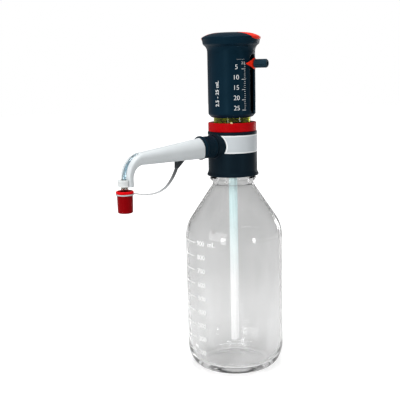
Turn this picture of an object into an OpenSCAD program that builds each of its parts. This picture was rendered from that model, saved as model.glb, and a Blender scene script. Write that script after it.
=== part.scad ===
// Bottle top dispenser on a screw-neck laboratory bottle, set at its smallest dose.
// Millimetres. +Z is up, the origin is the centre of the bottle's foot, the spout points along -X.
// The plunger stands lifted by the smallest dose, as it does just before that dose is pressed out.

/* [Bottle] */
// Outside diameter of the bottle's body
bottle_d = 101; // [96:0.5:106]
// Height of the bottle from its foot to the rim of its mouth
bottle_h = 225; // [205:1:260]
// Thickness of the glass wall
bottle_wall = 2.8; // [2:0.1:4]
// Thickness of the glass in the middle of the floor
bottle_floor = 5; // [3.5:0.1:8]
// Outside diameter of the ring that the bottle stands on
foot_d = 71.6; // [60:0.2:80]
// Width of that ring
foot_width = 5; // [3:0.5:8]
// Height of the hollow under the floor
punt_h = 2.4; // [0.5:0.1:3]
// Height over which the heel rounds from the foot to the side
heel_h = 24; // [12:0.5:32]
// Radius where the side turns into the shoulder
shoulder_r = 36; // [20:0.5:44]
// Slope of the conical shoulder, from the vertical
shoulder_slope = 33.8; // [28:0.2:38]
// Outside diameter at the foot of the neck
neck_d = 42.6; // [41.6:0.1:44]
// Outside diameter of the threaded stretch, without the thread
neck_core_d = 41.2; // [40:0.1:42]
// Bore of the neck
neck_bore_d = 31; // [29:0.1:33]
// Height of the neck above the shoulder
neck_h = 31.1; // [29:0.1:34]
// Diameter of the pouring ring under the thread
pour_ring_d = 46.8; // [45:0.1:50]
// Height of the pouring ring
pour_ring_h = 5.4; // [4:0.1:7]

/* [Valve block] */
// Thickness of the flat seal on the bottle's rim
seal_t = 1.5; // [1:0.1:3]
// Outside diameter of the block and its screw skirt
block_d = 50.6; // [50:0.1:54]
// Diameter of the flared lip at the skirt's lower edge
skirt_lip_d = 53.4; // [52.5:0.1:57]
// Diameter of the skirt's threaded bore, over the crests of the bottle's thread
skirt_bore_d = 45.6; // [45.2:0.1:46.2]
// Height of the skirt below the seal
skirt_h = 23.2; // [18:0.2:23.4]
// Height of the block above the seal
block_h = 22; // [21.6:0.1:28]
// Height of the outlet's centre above the seal
outlet_h = 8.2; // [8:0.1:8.4]
// Height of the printed band round the block
band_h = 18.1; // [12:0.1:18.4]
// Thickness of that band
band_t = 0.8; // [0.4:0.1:1.2]
// Diameter of the outlet boss
boss_d = 27; // [25:0.2:27]
// Distance of the boss's end face from the block's axis
boss_reach = 29.6; // [28:0.1:33]
// Direction of the air inlet round the block, from the side opposite the spout
vent_turn = 60; // [30:1:90]
// Diameter of the air inlet's port
vent_d = 6; // [4:0.2:7]

/* [Inlet valve and filling tube] */
// Diameter of the stub that reaches down into the neck
stub_d = 18; // [16:0.2:19]
// Length of that stub below the seal
stub_h = 12.6; // [8:0.2:16]
// Diameter of the screwed-in inlet valve
inlet_d = 12.8; // [12:0.1:14]
// Diameter of the inlet valve's ball
inlet_ball_d = 6; // [5.4:0.1:6.6]
// Diameter of the opening that the inlet ball closes
inlet_port_d = 4.4; // [3.6:0.1:4.8]
// How far the inlet ball lifts
inlet_lift = 1.8; // [1:0.1:2]
// Outside diameter of the upper filling tube
upper_tube_d = 6.9; // [6:0.1:8]
// Bore of the upper filling tube
upper_tube_bore = 4.6; // [3.6:0.1:5]
// Outside diameter of the lower, sliding filling tube
lower_tube_d = 8.9; // [8.9:0.1:10]
// Gap between the lower filling tube's top and the inlet valve
tube_top_gap = 11.3; // [10.6:0.1:60]
// Height of the lower tube's end above the bottle's floor
tube_foot = 19.7; // [18:0.1:40]
// Height of the upper tube's end above the lower tube's end
tube_overlap_foot = 11.2; // [4:0.1:30]

/* [Dosing unit] */
// Bore of the glass dosing cylinder
piston_d = 25.06; // [24.6:0.02:25.6]
// Wall of the dosing cylinder
cylinder_wall = 3; // [2:0.1:3.4]
// Largest dose in millilitres
dose_max = 25; // [15:0.5:27]
// Smallest dose in millilitres, at which the dispenser stands
dose_min = 2.5; // [1:0.1:4]
// Wall of the protective sleeve
guard_wall = 1.5; // [1:0.1:1.8]
// Diameter of the sleeve's foot flange
guard_foot_d = 42.8; // [41.6:0.1:43.6]
// Outside diameter of the locking ring
lock_ring_d = 49.5; // [48:0.1:50.4]
// Height of the locking ring
lock_ring_h = 9; // [7:0.1:12]
// Diameter of the piston's rod
rod_d = 16; // [10:0.5:18]

/* [Plunger housing] */
// Outside diameter of the sliding housing
housing_d = 49.3; // [49:0.1:52]
// Wall of the sliding housing
housing_wall = 2.2; // [1.8:0.05:2.3]
// Largest diameter of the cap
cap_d = 61; // [58:0.2:66]
// Height of the cap
cap_h = 13.7; // [12:0.1:18]
// Height of the cap's domed top
dome_h = 5; // [3.5:0.1:6]
// Width of each coloured grip pad in the cap's top
pad_width = 25; // [18:0.2:27]
// Thickness of the grip pads
pad_t = 1.6; // [1.2:0.1:2.4]
// Direction of the grip pads round the axis
pad_turn = -65; // [-90:1:-40]
// Direction of the volume slot round the axis
slot_turn = -71; // [-90:1:-60]
// Width of the volume slot
slot_width = 10.6; // [9.6:0.1:11]

/* [Volume pointer] */
// Length of the arrow from the clamp's axis to its tip
arrow_l = 11.5; // [9:0.1:13]
// Height of the arrow's base
arrow_h = 10.8; // [10:0.1:14]
// Thickness of the pointer plate
pointer_t = 1.4; // [1:0.1:1.6]
// Diameter of the clamp knob
knob_d = 8.7; // [8:0.1:9.4]
// Length of the clamp knob
knob_l = 13.6; // [10:0.1:18]
// Diameter of the clamp's steel stud
stud_d = 3; // [2:0.1:3.4]

/* [Outlet] */
// Outside diameter of the union nut
nut_d = 22.6; // [22:0.1:24]
// Length of the union nut
nut_l = 16; // [15:0.1:18]
// Diameter of the boss's threaded stub, without the thread
outlet_stub_d = 19; // [18:0.1:19.4]
// Diameter of the valve chamber in the boss
chamber_d = 10.9; // [9.6:0.1:11.5]
// Diameter of the outlet valve's ball
outlet_ball_d = 5; // [4.4:0.1:5.4]
// Diameter of the opening that the outlet ball closes
outlet_port_d = 3; // [2.4:0.1:3.4]
// How far the outlet ball moves off its seat
outlet_lift = 1.5; // [0.8:0.1:2]
// Height of the spout at its root
arm_root_h = 21; // [19:0.1:21.6]
// Width of the spout at its root
arm_root_w = 19; // [16:0.1:20]
// Distance of the nozzle from the dispenser's axis
nozzle_reach = 140.2; // [120:0.2:180]
// Drop from the outlet's centre to the spout's lower end
nozzle_drop = 28; // [26:0.2:40]
// Outside diameter of the discharge tube
tube_d = 4.1; // [3.4:0.1:4.4]
// Bore of the discharge tube
tube_bore = 2.4; // [1.6:0.1:2.6]
// Outside diameter of the nozzle
nozzle_d = 7; // [6.4:0.1:7.4]

/* [Nozzle cap and tether] */
// Diameter of the cap's rounded flange
tip_cap_flange_d = 16.6; // [16:0.1:20]
// Diameter of the cap's body under the flange
tip_cap_d = 14.8; // [13:0.1:15]
// Height of the nozzle cap
tip_cap_h = 20.8; // [19:0.1:28]
// Thickness of the tether's strap
strap_t = 1.3; // [1:0.1:1.8]
// Width of the tether's strap
strap_w = 3; // [2:0.1:4]

/* [Hidden] */
$fn = 96;

// Clearances
hair = 0.05;         // between seated faces of one body
run = 0.08;          // radial running clearance of a shaft or a sliding tube
free = 0.3;          // between pieces that pass each other
over = 1;            // how far a cutting shape passes a face

// Dose
mm_per_ml = 1000 / (PI * pow(piston_d / 2, 2));
rest_lift = dose_min * mm_per_ml;
travel = (dose_max - dose_min) * mm_per_ml;

// Levels of the fixed pieces
seat_z = bottle_h + seal_t + 2 * hair;
skirt_z = seat_z - skirt_h;
block_z = seat_z + block_h;
outlet_z = seat_z + outlet_h;
band_z = seat_z + (block_h - band_h) / 4;
socket_h = 1.6;
floor_z = block_z - socket_h;
lock_ring_z = block_z + free;
lock_ring_top = lock_ring_z + lock_ring_h;

// Gap between the skirt and the bottle's pouring ring
ring_gap = 0.9;

// Levels of the plunger at rest
housing_z = lock_ring_top + free + rest_lift;
chamfer_h = 3.2;
slot_foot = 3.4;
slider_neck_h = 8;
slot_z = housing_z + slot_foot;
pointer_z = slot_z + free + slider_neck_h / 2 + travel;
slot_head = 9;
slot_top = pointer_z + slot_head;
housing_top = slot_top + 8.8;
dead_gap = free;
piston_z = floor_z + dead_gap + rest_lift;

// Stop collar, which the pointer's slider meets from below
stop_z = pointer_z + slider_neck_h / 2 + free;
stop_h = 3.1;
cylinder_top = stop_z - 1.9;
plug_z = stop_z + stop_h + rest_lift + free;

// Radii that fit into one another
cylinder_r = piston_d / 2 + cylinder_wall;
housing_r = housing_d / 2;
housing_bore_r = housing_r - housing_wall;
nest = housing_bore_r - cylinder_r;
guard_r = cylinder_r + 0.494 * nest;
stop_r = guard_r + 0.18 * nest;
slider_in_r = stop_r + free;
slider_out_r = housing_bore_r - free;
pointer_in_r = housing_r + free;
pointer_out_r = pointer_in_r + pointer_t;
knob_r0 = pointer_out_r + free;
block_r = block_d / 2;
boss_r = boss_d / 2;
cap_r = cap_d / 2;
neck_bore_r = neck_bore_d / 2;

// Outlet along the spout's axis, as distances from the dispenser's axis
nut_back = boss_reach + 0.4;
nut_front = nut_back + nut_l;
nut_flange_t = 2.6;
valve_flange_t = 2.3;
flange_back = nut_front - nut_flange_t - 0.2 - valve_flange_t;
outlet_stub_end = flange_back - 0.1;
seat_t = 3;
seat_u = 17;
seat_face = seat_u + seat_t;
ball_seat = sqrt(pow(outlet_ball_d / 2, 2) - pow(outlet_port_d / 2, 2));
ball_u = seat_face + ball_seat + hair;
spring_start = ball_u + outlet_ball_d / 2 + hair;
spring_end = 36;
arm_root = nut_front + free;

// Spout and elbow in the vertical plane through the outlet's axis
tube_bend_r = 21.2;
bend_u = nozzle_reach - tube_bend_r;
lip_u = nozzle_reach - 0.7;
arm_end_z = outlet_z - nozzle_drop;
elbow_out_r = 22;
elbow_in_r = 11.6;
elbow_back = 5.9;
elbow_out = [lip_u - elbow_out_r, outlet_z - 17.8];
elbow_in = [lip_u - elbow_back - elbow_in_r, outlet_z - 20.8];
elbow_w = 14;
arm_end_w = 12.4;
channel_w = tube_d + 2 * free;
channel_start = 12;
nozzle_socket_h = 7;

// Nozzle and its cap
cap_top_z = arm_end_z - 3.5;
cap_foot_z = cap_top_z - tip_cap_h;
nozzle_foot_z = cap_foot_z + 7.6;
cap_bore_r = nozzle_d / 2 + run;
flange_h = 2.8;
ring_h = 1.2;
ring_z = cap_top_z - flange_h - ring_h - hair;
ring_r = tip_cap_d / 2 + 0.95;

// Tether route from the ring to the anchor, as distances from the axis and heights over the outlet
strap_route = [
    [nozzle_reach - ring_r - hair, -34.95], [126, -36.1], [120, -37.4], [114, -38.2], [108, -38.5],
    [102, -38], [97, -36.8], [92, -34.6], [88, -31.8], [84.5, -28.4], [81.5, -24.8], [79, -21],
    [77.4, -18.2]
];
anchor_tip = [77.2, -17.6];
anchor_l = 10.4;

// Points of a circular arc in a plane, from one angle to another
function arc(c, r, from, to, steps) =
    [for (i = [0:steps]) let (a = from + (to - from) * i / steps) [c[0] + r * cos(a), c[1] + r * sin(a)]];

// Points of an elliptical arc
function ellipse_arc(c, a, b, from, to, steps) =
    [for (i = [0:steps]) let (t = from + (to - from) * i / steps) [c[0] + a * cos(t), c[1] + b * sin(t)]];

// Turns a profile of [radius, height] points about the Z axis
module turned(points) {
    rotate_extrude() polygon(points);
}

// Round bar from one height to another
module bar(r, from, to) {
    translate([0, 0, from]) cylinder(r = r, h = to - from);
}

// Ring from one height to another
module tube(r_out, r_in, from, to) {
    difference() {
        bar(r_out, from, to);
        bar(r_in, from - over, to + over);
    }
}

// Local +Z runs outward along the spout from the dispenser's axis, at the outlet's height
module along_outlet() {
    translate([0, 0, outlet_z]) rotate([0, -90, 0]) children();
}

// Local +X points outward through the volume slot
module at_slot() {
    rotate([0, 0, slot_turn]) children();
}

// Local +Z points outward through the volume slot at the pointer's height
module along_clamp() {
    at_slot() translate([0, 0, pointer_z]) rotate([0, 90, 0]) children();
}

// Upright axis of the nozzle
module at_nozzle() {
    translate([-nozzle_reach, 0, 0]) children();
}

// Closed skin over rings of points, every ring with as many points as the others
module skin(rings) {
    n = len(rings[0]);
    last = len(rings) - 1;
    sides = [for (i = [0:last - 1], j = [0:n - 1])
        let (a = i * n + j, b = i * n + (j + 1) % n) each [[a, b, a + n], [b, b + n, a + n]]];
    ends = [[for (j = [n - 1:-1:0]) j], [for (j = [0:n - 1]) last * n + j]];
    polyhedron([for (ring = rings) each ring], concat(sides, ends), convexity = 8);
}

// ---- Bottle ----

// Outline of the glass on one side: inset 0 is the outside, inset bottle_wall the inside
function bottle_side(inset, foot_r, foot_z) =
    let (
        side_r = bottle_d / 2 - inset,
        turn_r = shoulder_r - inset,
        neck_z = bottle_h - neck_h,
        root_r = neck_d / 2 - inset,
        run_r = shoulder_r * (1 - cos(shoulder_slope)),
        cone_h = (bottle_d / 2 - neck_d / 2 - run_r) / tan(shoulder_slope),
        turn_z = neck_z - cone_h - shoulder_r * sin(shoulder_slope)
    )
    concat(
        ellipse_arc([foot_r, foot_z + heel_h - inset], side_r - foot_r, heel_h - inset, -90, 0, 9),
        arc([side_r - turn_r, turn_z], turn_r, 0, shoulder_slope, 7),
        [[root_r, neck_z]]
    );

// Screw-neck glass bottle with a pouring ring under its thread
module bottle() {
    neck_z = bottle_h - neck_h;
    ring_z0 = skirt_z - ring_gap - pour_ring_h;
    ring_r0 = pour_ring_d / 2;
    core_r = neck_core_d / 2;
    rim = 1;
    outside = concat(
        [[0, punt_h], [foot_d / 4, punt_h * 0.8], [foot_d / 2 - foot_width, 0]],
        bottle_side(0, foot_d / 2, 0),
        [[neck_d / 2, ring_z0 - 0.4], [ring_r0 - 0.2, ring_z0 + pour_ring_h * 0.4],
            [ring_r0, ring_z0 + pour_ring_h * 0.7], [ring_r0 - 0.8, ring_z0 + pour_ring_h],
            [core_r, ring_z0 + pour_ring_h], [core_r, bottle_h - rim], [core_r - rim, bottle_h],
            [neck_bore_r + rim / 2, bottle_h], [neck_bore_r, bottle_h - rim / 2], [neck_bore_r, neck_z]]
    );
    inner_side = bottle_side(bottle_wall, foot_d / 2 - foot_width, punt_h + bottle_floor - 1.6);
    inside = [for (i = [len(inner_side) - 2:-1:0]) inner_side[i]];
    color([0.85, 0.9, 0.9, 0.35])
        turned(concat(outside, inside, [[0, punt_h + bottle_floor]]));
}

// Flat seal between the bottle's rim and the valve block
module neck_seal() {
    color("whitesmoke")
        tube(neck_core_d / 2 - 0.3, neck_bore_r + 0.6, bottle_h + hair, bottle_h + hair + seal_t);
}

// ---- Valve block ----

// Outer form of the block: flared lip, skirt, recess for the band and upper rim
module block_body() {
    lip = skirt_lip_d / 2;
    turned([
        [0, skirt_z], [lip - 0.6, skirt_z], [lip, skirt_z + 0.6], [lip, skirt_z + 1.4],
        [lip - 0.7, skirt_z + 2.2], [block_r + 0.25, skirt_z + 3.6], [block_r, skirt_z + 5.2],
        [block_r, band_z], [block_r - band_t - hair, band_z],
        [block_r - band_t - hair, band_z + band_h], [block_r + 0.1, band_z + band_h],
        [block_r + 0.1, block_z - 0.6], [block_r - 0.5, block_z], [0, block_z]
    ]);
}

// Boss for the outlet, with a fairing that runs down into the skirt
module outlet_boss() {
    along_outlet() cylinder(r = boss_r, h = boss_reach);
    along_outlet() cylinder(r = outlet_stub_d / 2, h = outlet_stub_end);
    hull() {
        along_outlet() translate([0, 0, block_r - 4]) cylinder(r = boss_r - 1, h = 5.4, $fn = 32);
        translate([-block_r - 0.2, -boss_r + 3, skirt_z + 4]) cube([4, 2 * boss_r - 6, 2]);
    }
}

// Moulded block that screws on the bottle and carries both valves and the dosing unit
module valve_block() {
    seat_top = seat_z + 4.4;
    feed_r = 2.4;
    vent_z = seat_z + outlet_h + 1.2;
    color([0.07, 0.11, 0.16]) difference() {
        union() {
            difference() {
                union() {
                    block_body();
                    outlet_boss();
                }
                bar(skirt_bore_d / 2, skirt_z - over, seat_z);
            }
            bar(stub_d / 2, seat_z - stub_h, seat_z + over);
        }
        bar(inlet_d / 2 + hair, seat_z - stub_h - over, seat_top);
        bar(feed_r, seat_top - over, block_z);
        bar(cylinder_r + hair, floor_z, block_z + over);
        along_outlet() cylinder(r = outlet_port_d / 2, h = seat_u + over);
        along_outlet() bar(chamber_d / 2, seat_u, outlet_stub_end + over);
        along_outlet() tube(o_ring_r + 0.9, o_ring_r - 0.9, outlet_stub_end - 2 * o_ring_section_r - hair, outlet_stub_end + over);
        rotate([0, 0, vent_turn]) {
            translate([neck_bore_r - 3.5, 0, vent_z]) rotate([0, 90, 0]) cylinder(d = 3, h = block_r);
            translate([block_r - 6, 0, vent_z]) rotate([0, 90, 0]) cylinder(d = vent_d, h = block_r);
            translate([neck_bore_r - 3.5, 0, seat_z - over]) cylinder(d = 3, h = vent_z - seat_z + over);
        }
    }
}

// Light band round the block, cut out round the boss
module printed_band() {
    vent_z = seat_z + outlet_h + 1.2;
    color([0.82, 0.84, 0.85]) difference() {
        tube(block_r, block_r - band_t, band_z + hair, band_z + band_h - hair);
        along_outlet() cylinder(r = boss_r + hair, h = boss_reach);
        rotate([0, 0, vent_turn]) translate([0, 0, vent_z]) rotate([0, 90, 0])
            cylinder(d = vent_d + 2 * free, h = block_d);
    }
}

// Push-in plug with a filter that closes the air inlet
module vent_plug() {
    vent_z = seat_z + outlet_h + 1.2;
    shank = vent_d / 2 - hair;
    color([0.07, 0.11, 0.16]) rotate([0, 0, vent_turn]) translate([block_r, 0, vent_z]) rotate([0, 90, 0])
        difference() {
            turned([
                [0, -5.6], [shank, -5.6], [shank, hair], [vent_d / 2 + 1.6, hair],
                [vent_d / 2 + 1.6, 1.6], [vent_d / 2 + 0.8, 2.6], [0, 2.6]
            ]);
            for (i = [0:5]) rotate([0, 0, 60 * i]) translate([1.9, 0, 0.8]) cylinder(d = 0.9, h = 3);
        }
}

// ---- Inlet valve and filling tube ----

port_z = seat_z - 3.1;
inlet_ball_z = port_z + sqrt(pow(inlet_ball_d / 2, 2) - pow(inlet_port_d / 2, 2)) + hair;
inlet_foot_z = seat_z - stub_h - 2;
spigot_l = 12;

// Screwed-in seat for the inlet ball, with a spigot for the filling tube
module inlet_valve() {
    top = seat_z + 4.4 - hair;
    spigot_r = upper_tube_bore / 2 - hair;
    color("white") difference() {
        union() {
            bar(inlet_d / 2, inlet_foot_z, top);
            bar(stub_d / 2 - 0.4, inlet_foot_z, inlet_foot_z + 2 - hair);
            turned([
                [0, inlet_foot_z - spigot_l], [spigot_r - 0.5, inlet_foot_z - spigot_l],
                [spigot_r, inlet_foot_z - spigot_l + 2], [spigot_r, inlet_foot_z + over],
                [0, inlet_foot_z + over]
            ]);
        }
        bar(1.4, inlet_foot_z - spigot_l - over, port_z);
        turned([
            [0, port_z - 3], [1.4, port_z - 3], [inlet_port_d / 2, port_z],
            [inlet_ball_d / 2 + 0.5, port_z], [inlet_ball_d / 2 + 0.5, top + over], [0, top + over]
        ]);
    }
}

// Ball of the inlet valve, which falls back on its seat
module inlet_ball() {
    color([0.8, 0.85, 0.85]) translate([0, 0, inlet_ball_z]) sphere(d = inlet_ball_d);
}

// Levels of the two filling tubes
lower_tube_z = punt_h + bottle_floor + tube_foot - 2.4;
upper_tube_z = lower_tube_z + tube_overlap_foot;
lower_tube_top = inlet_foot_z - tube_top_gap;

// Filling tube that is pushed on the inlet valve's spigot
module filling_tube_upper() {
    color([0.9, 0.93, 0.94, 0.7])
        tube(upper_tube_d / 2, upper_tube_bore / 2, upper_tube_z, inlet_foot_z - 0.2);
}

// Lower filling tube that slides on the upper one to suit the bottle's depth
module filling_tube_lower() {
    bore_r = upper_tube_d / 2 + run;
    color([0.9, 0.93, 0.94, 0.7]) difference() {
        tube(lower_tube_d / 2, bore_r, lower_tube_z, lower_tube_top);
        translate([0, 0, lower_tube_z - 2.4]) rotate([0, 35, 0])
            cube([4 * lower_tube_d, 2 * lower_tube_d, lower_tube_d / 2], center = true);
    }
}

// ---- Dosing unit ----

// Glass cylinder that the piston runs in
module dosing_cylinder() {
    color([0.85, 0.9, 0.9, 0.35]) tube(cylinder_r, piston_d / 2, floor_z + hair, cylinder_top);
}

// Clear tinted sleeve that guards the cylinder and guides the housing
module guard_sleeve() {
    foot_r = guard_foot_d / 2;
    foot_z = block_z + hair;
    bore_r = guard_r - guard_wall;
    color([0.5, 0.5, 0.05, 0.5]) turned([
        [bore_r, foot_z], [foot_r, foot_z], [foot_r, foot_z + 2.2], [guard_r, foot_z + 2.2],
        [guard_r, stop_z - hair], [bore_r, stop_z - hair]
    ]);
}

// Collar on the sleeve's top that limits the stroke
module stop_collar() {
    bore_r = guard_r - guard_wall - hair;
    color([0.1, 0.1, 0.12]) turned([
        [bore_r - 1, stop_z], [bore_r - 1, stop_z - 1.4], [bore_r, stop_z - 1.4], [bore_r, stop_z],
        [stop_r, stop_z], [stop_r, stop_z + stop_h - 0.5], [stop_r - 0.5, stop_z + stop_h],
        [bore_r - 1, stop_z + stop_h]
    ]);
}

// Turnable ring that holds the sleeve's foot down on the block
module lock_ring() {
    r = lock_ring_d / 2;
    step = block_z + hair + 2.2 + free;
    color([0.75, 0.03, 0.1]) turned([
        [guard_foot_d / 2 + free, lock_ring_z], [r - 0.4, lock_ring_z], [r, lock_ring_z + 0.4],
        [r, lock_ring_top - 0.8], [r - 0.24, lock_ring_top - 0.24], [r - 0.8, lock_ring_top],
        [guard_r + 1.6, lock_ring_top], [guard_r + free, lock_ring_top - 1.3],
        [guard_r + free, step], [guard_foot_d / 2 + free, step]
    ]);
}

// Half-round mark on the ring's top
module index_pip() {
    pip_r = 1.2;
    mark_turn = -136;
    color([0.93, 0.9, 0.75]) rotate([0, 0, mark_turn]) translate([lock_ring_d / 2 - 1.75, 0, lock_ring_top + hair])
        rotate_extrude(angle = 360) intersection() {
            circle(r = pip_r);
            square(2 * pip_r);
        }
}

// Piston with its rod, screwed into the cap
module piston() {
    head_r = piston_d / 2 - 0.4;
    rod_r = rod_d / 2;
    groove_r = head_r - 2;
    color("white") turned([
        [0, piston_z], [head_r - 1, piston_z], [head_r, piston_z + 1], [head_r, piston_z + 2],
        [groove_r, piston_z + 2], [groove_r, piston_z + 9], [head_r, piston_z + 9],
        [head_r, piston_z + 12], [rod_r, piston_z + 16], [rod_r, plug_z - 5],
        [rod_r + 2.4, plug_z - 3], [rod_r + 2.4, plug_z - hair], [rod_r - 2, plug_z - hair],
        [rod_r - 2, plug_z + 8], [0, plug_z + 8]
    ]);
}

// Sealing sleeve in the piston's groove, with a lip at each end
module piston_seal() {
    bore_r = piston_d / 2 - 2.4 + hair;
    lip_r = piston_d / 2 - run / 2;
    waist_r = lip_r - 0.5;
    foot = piston_z + 2 + hair;
    top = piston_z + 9 - hair;
    color("whitesmoke") turned([
        [bore_r, foot], [lip_r, foot], [lip_r, foot + 1], [waist_r, foot + 2], [waist_r, top - 2],
        [lip_r, top - 1], [lip_r, top], [bore_r, top]
    ]);
}

// ---- Plunger housing ----

// Flare that leads from the housing into the cap, elliptical in section
flare_h = 5.8;
flare_reach = 1.19 * flare_h;
flare_r = cap_r - 1.3 - housing_r;
flare_turn = asin(flare_h / flare_reach);

function flare(from, to, steps) =
    ellipse_arc([housing_r + flare_r, housing_top - flare_h], flare_r, flare_reach, from, to, steps);

// Sliding housing with the volume slot
module housing() {
    lip_r = stop_r + free + hair;
    chamfer_r = lip_r + 0.7;
    color([0.07, 0.12, 0.18]) difference() {
        turned(concat(
            [[lip_r, housing_z], [chamfer_r, housing_z], [housing_r, housing_z + chamfer_h]],
            flare(180, 180 - flare_turn, 8),
            [[housing_bore_r, housing_top], [housing_bore_r, housing_z + chamfer_h], [lip_r, housing_z + 2.4]]
        ));
        at_slot() translate([0, 0, slot_z + slot_width / 2]) rotate([0, 90, 0]) hull() {
            cylinder(d = slot_width, h = cap_r, $fn = 32);
            translate([slot_z + slot_width - slot_top, 0, 0]) cylinder(d = slot_width, h = cap_r, $fn = 32);
        }
    }
}

// Height of the domed top at a radius: nearly flat in the middle, steeper towards the rim
function dome_z(r, drop) = housing_top + cap_h - drop - dome_h * pow(r / cap_r, 4);

// Everything under the dome's surface, lowered by drop
module under_dome(drop) {
    steps = 14;
    turned(concat(
        [[0, housing_top - over]], [[cap_r, housing_top - over]],
        [for (i = [0:steps]) let (r = cap_r * cos(90 * i / steps)) [r, dome_z(r, drop)]]
    ));
}

// Outline of a grip pad seen from above, open past the rim
module pad_outline(gap) {
    half = pad_width / 2 + gap;
    centre = 19;
    hull_free_end = cap_r + 3;
    rotate([0, 0, pad_turn]) union() {
        translate([centre, 0]) circle(r = half);
        translate([centre, -half]) square([hull_free_end - centre, 2 * half]);
    }
}

// Recess for a grip pad, or with gap 0 and proud > 0 the pad itself
module pad_block(gap, floor_drop, top_drop) {
    intersection() {
        translate([0, 0, housing_top + 2]) linear_extrude(cap_h + over) pad_outline(gap);
        difference() {
            under_dome(top_drop);
            under_dome(floor_drop);
        }
    }
}

// Screwed-on cap that is lifted and pressed by hand
module top_cap() {
    foot = housing_top + hair;
    rim_z = dome_z(cap_r, 0);
    plug_r = housing_bore_r - hair;
    color([0.07, 0.12, 0.18]) difference() {
        intersection() {
            union() {
                turned([
                    [0, foot], [housing_r + flare_r * (1 - cos(flare_turn)), foot], [cap_r - 1.3, foot + 2.1],
                    [cap_r - 0.7, foot + 5.2], [cap_r, rim_z - 0.8], [cap_r - 0.4, rim_z + dome_h],
                    [0, rim_z + dome_h]
                ]);
                bar(plug_r, plug_z, foot + over);
            }
            union() {
                under_dome(0);
                bar(plug_r + over, plug_z - over, housing_top);
            }
        }
        bar(rod_d / 2 - 2 + hair, plug_z - over, plug_z + 8 + hair);
        tube(plug_r - 2.4, rod_d / 2 + 3.4, plug_z - over, plug_z + 6);
        for (side = [0, 180]) rotate([0, 0, side]) pad_block(0.15, pad_t + hair, -over);
    }
}

// Coloured grip pad over the slot's side
module grip_pad_front() {
    color([0.95, 0.2, 0.08]) pad_block(0, pad_t, 0);
}

// Coloured grip pad on the far side
module grip_pad_rear() {
    color([0.95, 0.2, 0.08]) rotate([0, 0, 180]) pad_block(0, pad_t, 0);
}

// ---- Volume pointer ----

// Red arrow that lies on the housing and points at the scale
module pointer() {
    back = slot_width / 2 - 0.4;
    color([0.95, 0.12, 0.08]) difference() {
        intersection() {
            tube(pointer_out_r, pointer_in_r, pointer_z - arrow_h, pointer_z + arrow_h);
            at_slot() translate([0, 0, pointer_z]) rotate([90, 0, 90]) linear_extrude(cap_r) polygon([
                [back, -arrow_h / 2], [back, arrow_h / 2], [0, arrow_h / 2],
                [-arrow_l, 0.3], [-arrow_l, -0.3], [0, -arrow_h / 2]
            ]);
        }
        along_clamp() cylinder(r = stud_d / 2 + run, h = cap_r);
    }
}

// Slider behind the slot, with a neck that fills the slot's width and fits its round end
module pointer_slider() {
    neck_w = slot_width - 2 * free;
    plate_w = slot_width + 5;
    foot = pointer_z - slider_neck_h / 2;
    top = pointer_z + slider_neck_h / 2;
    color([0.12, 0.12, 0.14]) difference() {
        union() {
            intersection() {
                tube(slider_out_r, slider_in_r, foot, top);
                at_slot() translate([0, -plate_w / 2, foot - over])
                    cube([cap_r, plate_w, slider_neck_h + 2 * over]);
            }
            intersection() {
                tube(pointer_in_r - hair, slider_in_r + 0.4, foot, top);
                at_slot() translate([0, 0, foot + neck_w / 2]) {
                    rotate([0, 90, 0]) cylinder(d = neck_w, h = cap_r);
                    translate([0, -neck_w / 2, 0]) cube([cap_r, neck_w, slider_neck_h]);
                }
            }
        }
        along_clamp() cylinder(r = stud_d / 2 + run, h = cap_r);
    }
}

// Fluted thumb screw that clamps the pointer
module clamp_knob() {
    knob_r = knob_d / 2;
    flutes = 10;
    color([0.1, 0.13, 0.17]) along_clamp() translate([0, 0, knob_r0]) difference() {
        turned([
            [0, 0], [knob_r - 0.5, 0], [knob_r, 0.5], [knob_r, knob_l - 1.2], [knob_r - 1.2, knob_l],
            [1.9, knob_l], [1.7, knob_l - 1.6], [0, knob_l - 1.6]
        ]);
        for (i = [0:flutes - 1]) rotate([0, 0, 360 / flutes * i])
            translate([knob_r + 0.45, 0, 1.4]) cylinder(d = 1.5, h = knob_l);
        bar(stud_d / 2 + hair, -over, knob_l - 4);
    }
}

// Steel stud moulded into the knob and screwed into the slider
module clamp_stud() {
    tip_r = slider_in_r + 0.4;
    color("silver") along_clamp() turned([
        [0, tip_r], [stud_d / 2 - 0.4, tip_r], [stud_d / 2, tip_r + 0.4],
        [stud_d / 2, knob_r0 + knob_l - 4.2], [0, knob_r0 + knob_l - 4.2]
    ]);
}

// ---- Outlet ----

o_ring_r = outlet_stub_d / 2 - 2;
o_ring_section_r = 0.62;

// Disc with the opening that the outlet ball closes
module outlet_seat() {
    color("white") along_outlet() difference() {
        bar(chamber_d / 2 - hair, seat_u + hair, seat_face);
        bar(outlet_port_d / 2, seat_u - over, seat_face + over);
    }
}

// Ball of the outlet valve
module outlet_ball() {
    color([0.8, 0.85, 0.85]) along_outlet() translate([0, 0, ball_u]) sphere(d = outlet_ball_d);
}

// Coil spring that closes the outlet ball
module outlet_spring() {
    wire = 0.5;
    coil_r = outlet_ball_d / 2 - 0.35;
    turns = 6;
    rings_per_turn = 14;
    sides = 6;
    start = spring_start + wire / 2;
    rise = spring_end - hair - wire / 2 - start;
    color("silver") along_outlet() skin([for (i = [0:turns * rings_per_turn])
        let (a = 360 * i / rings_per_turn, z = start + rise * i / (turns * rings_per_turn))
        [for (j = [0:sides - 1]) let (b = 360 * j / sides, r = coil_r + wire / 2 * cos(b))
            [r * cos(a), r * sin(a), z + wire / 2 * sin(b)]]
    ]);
}

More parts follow.
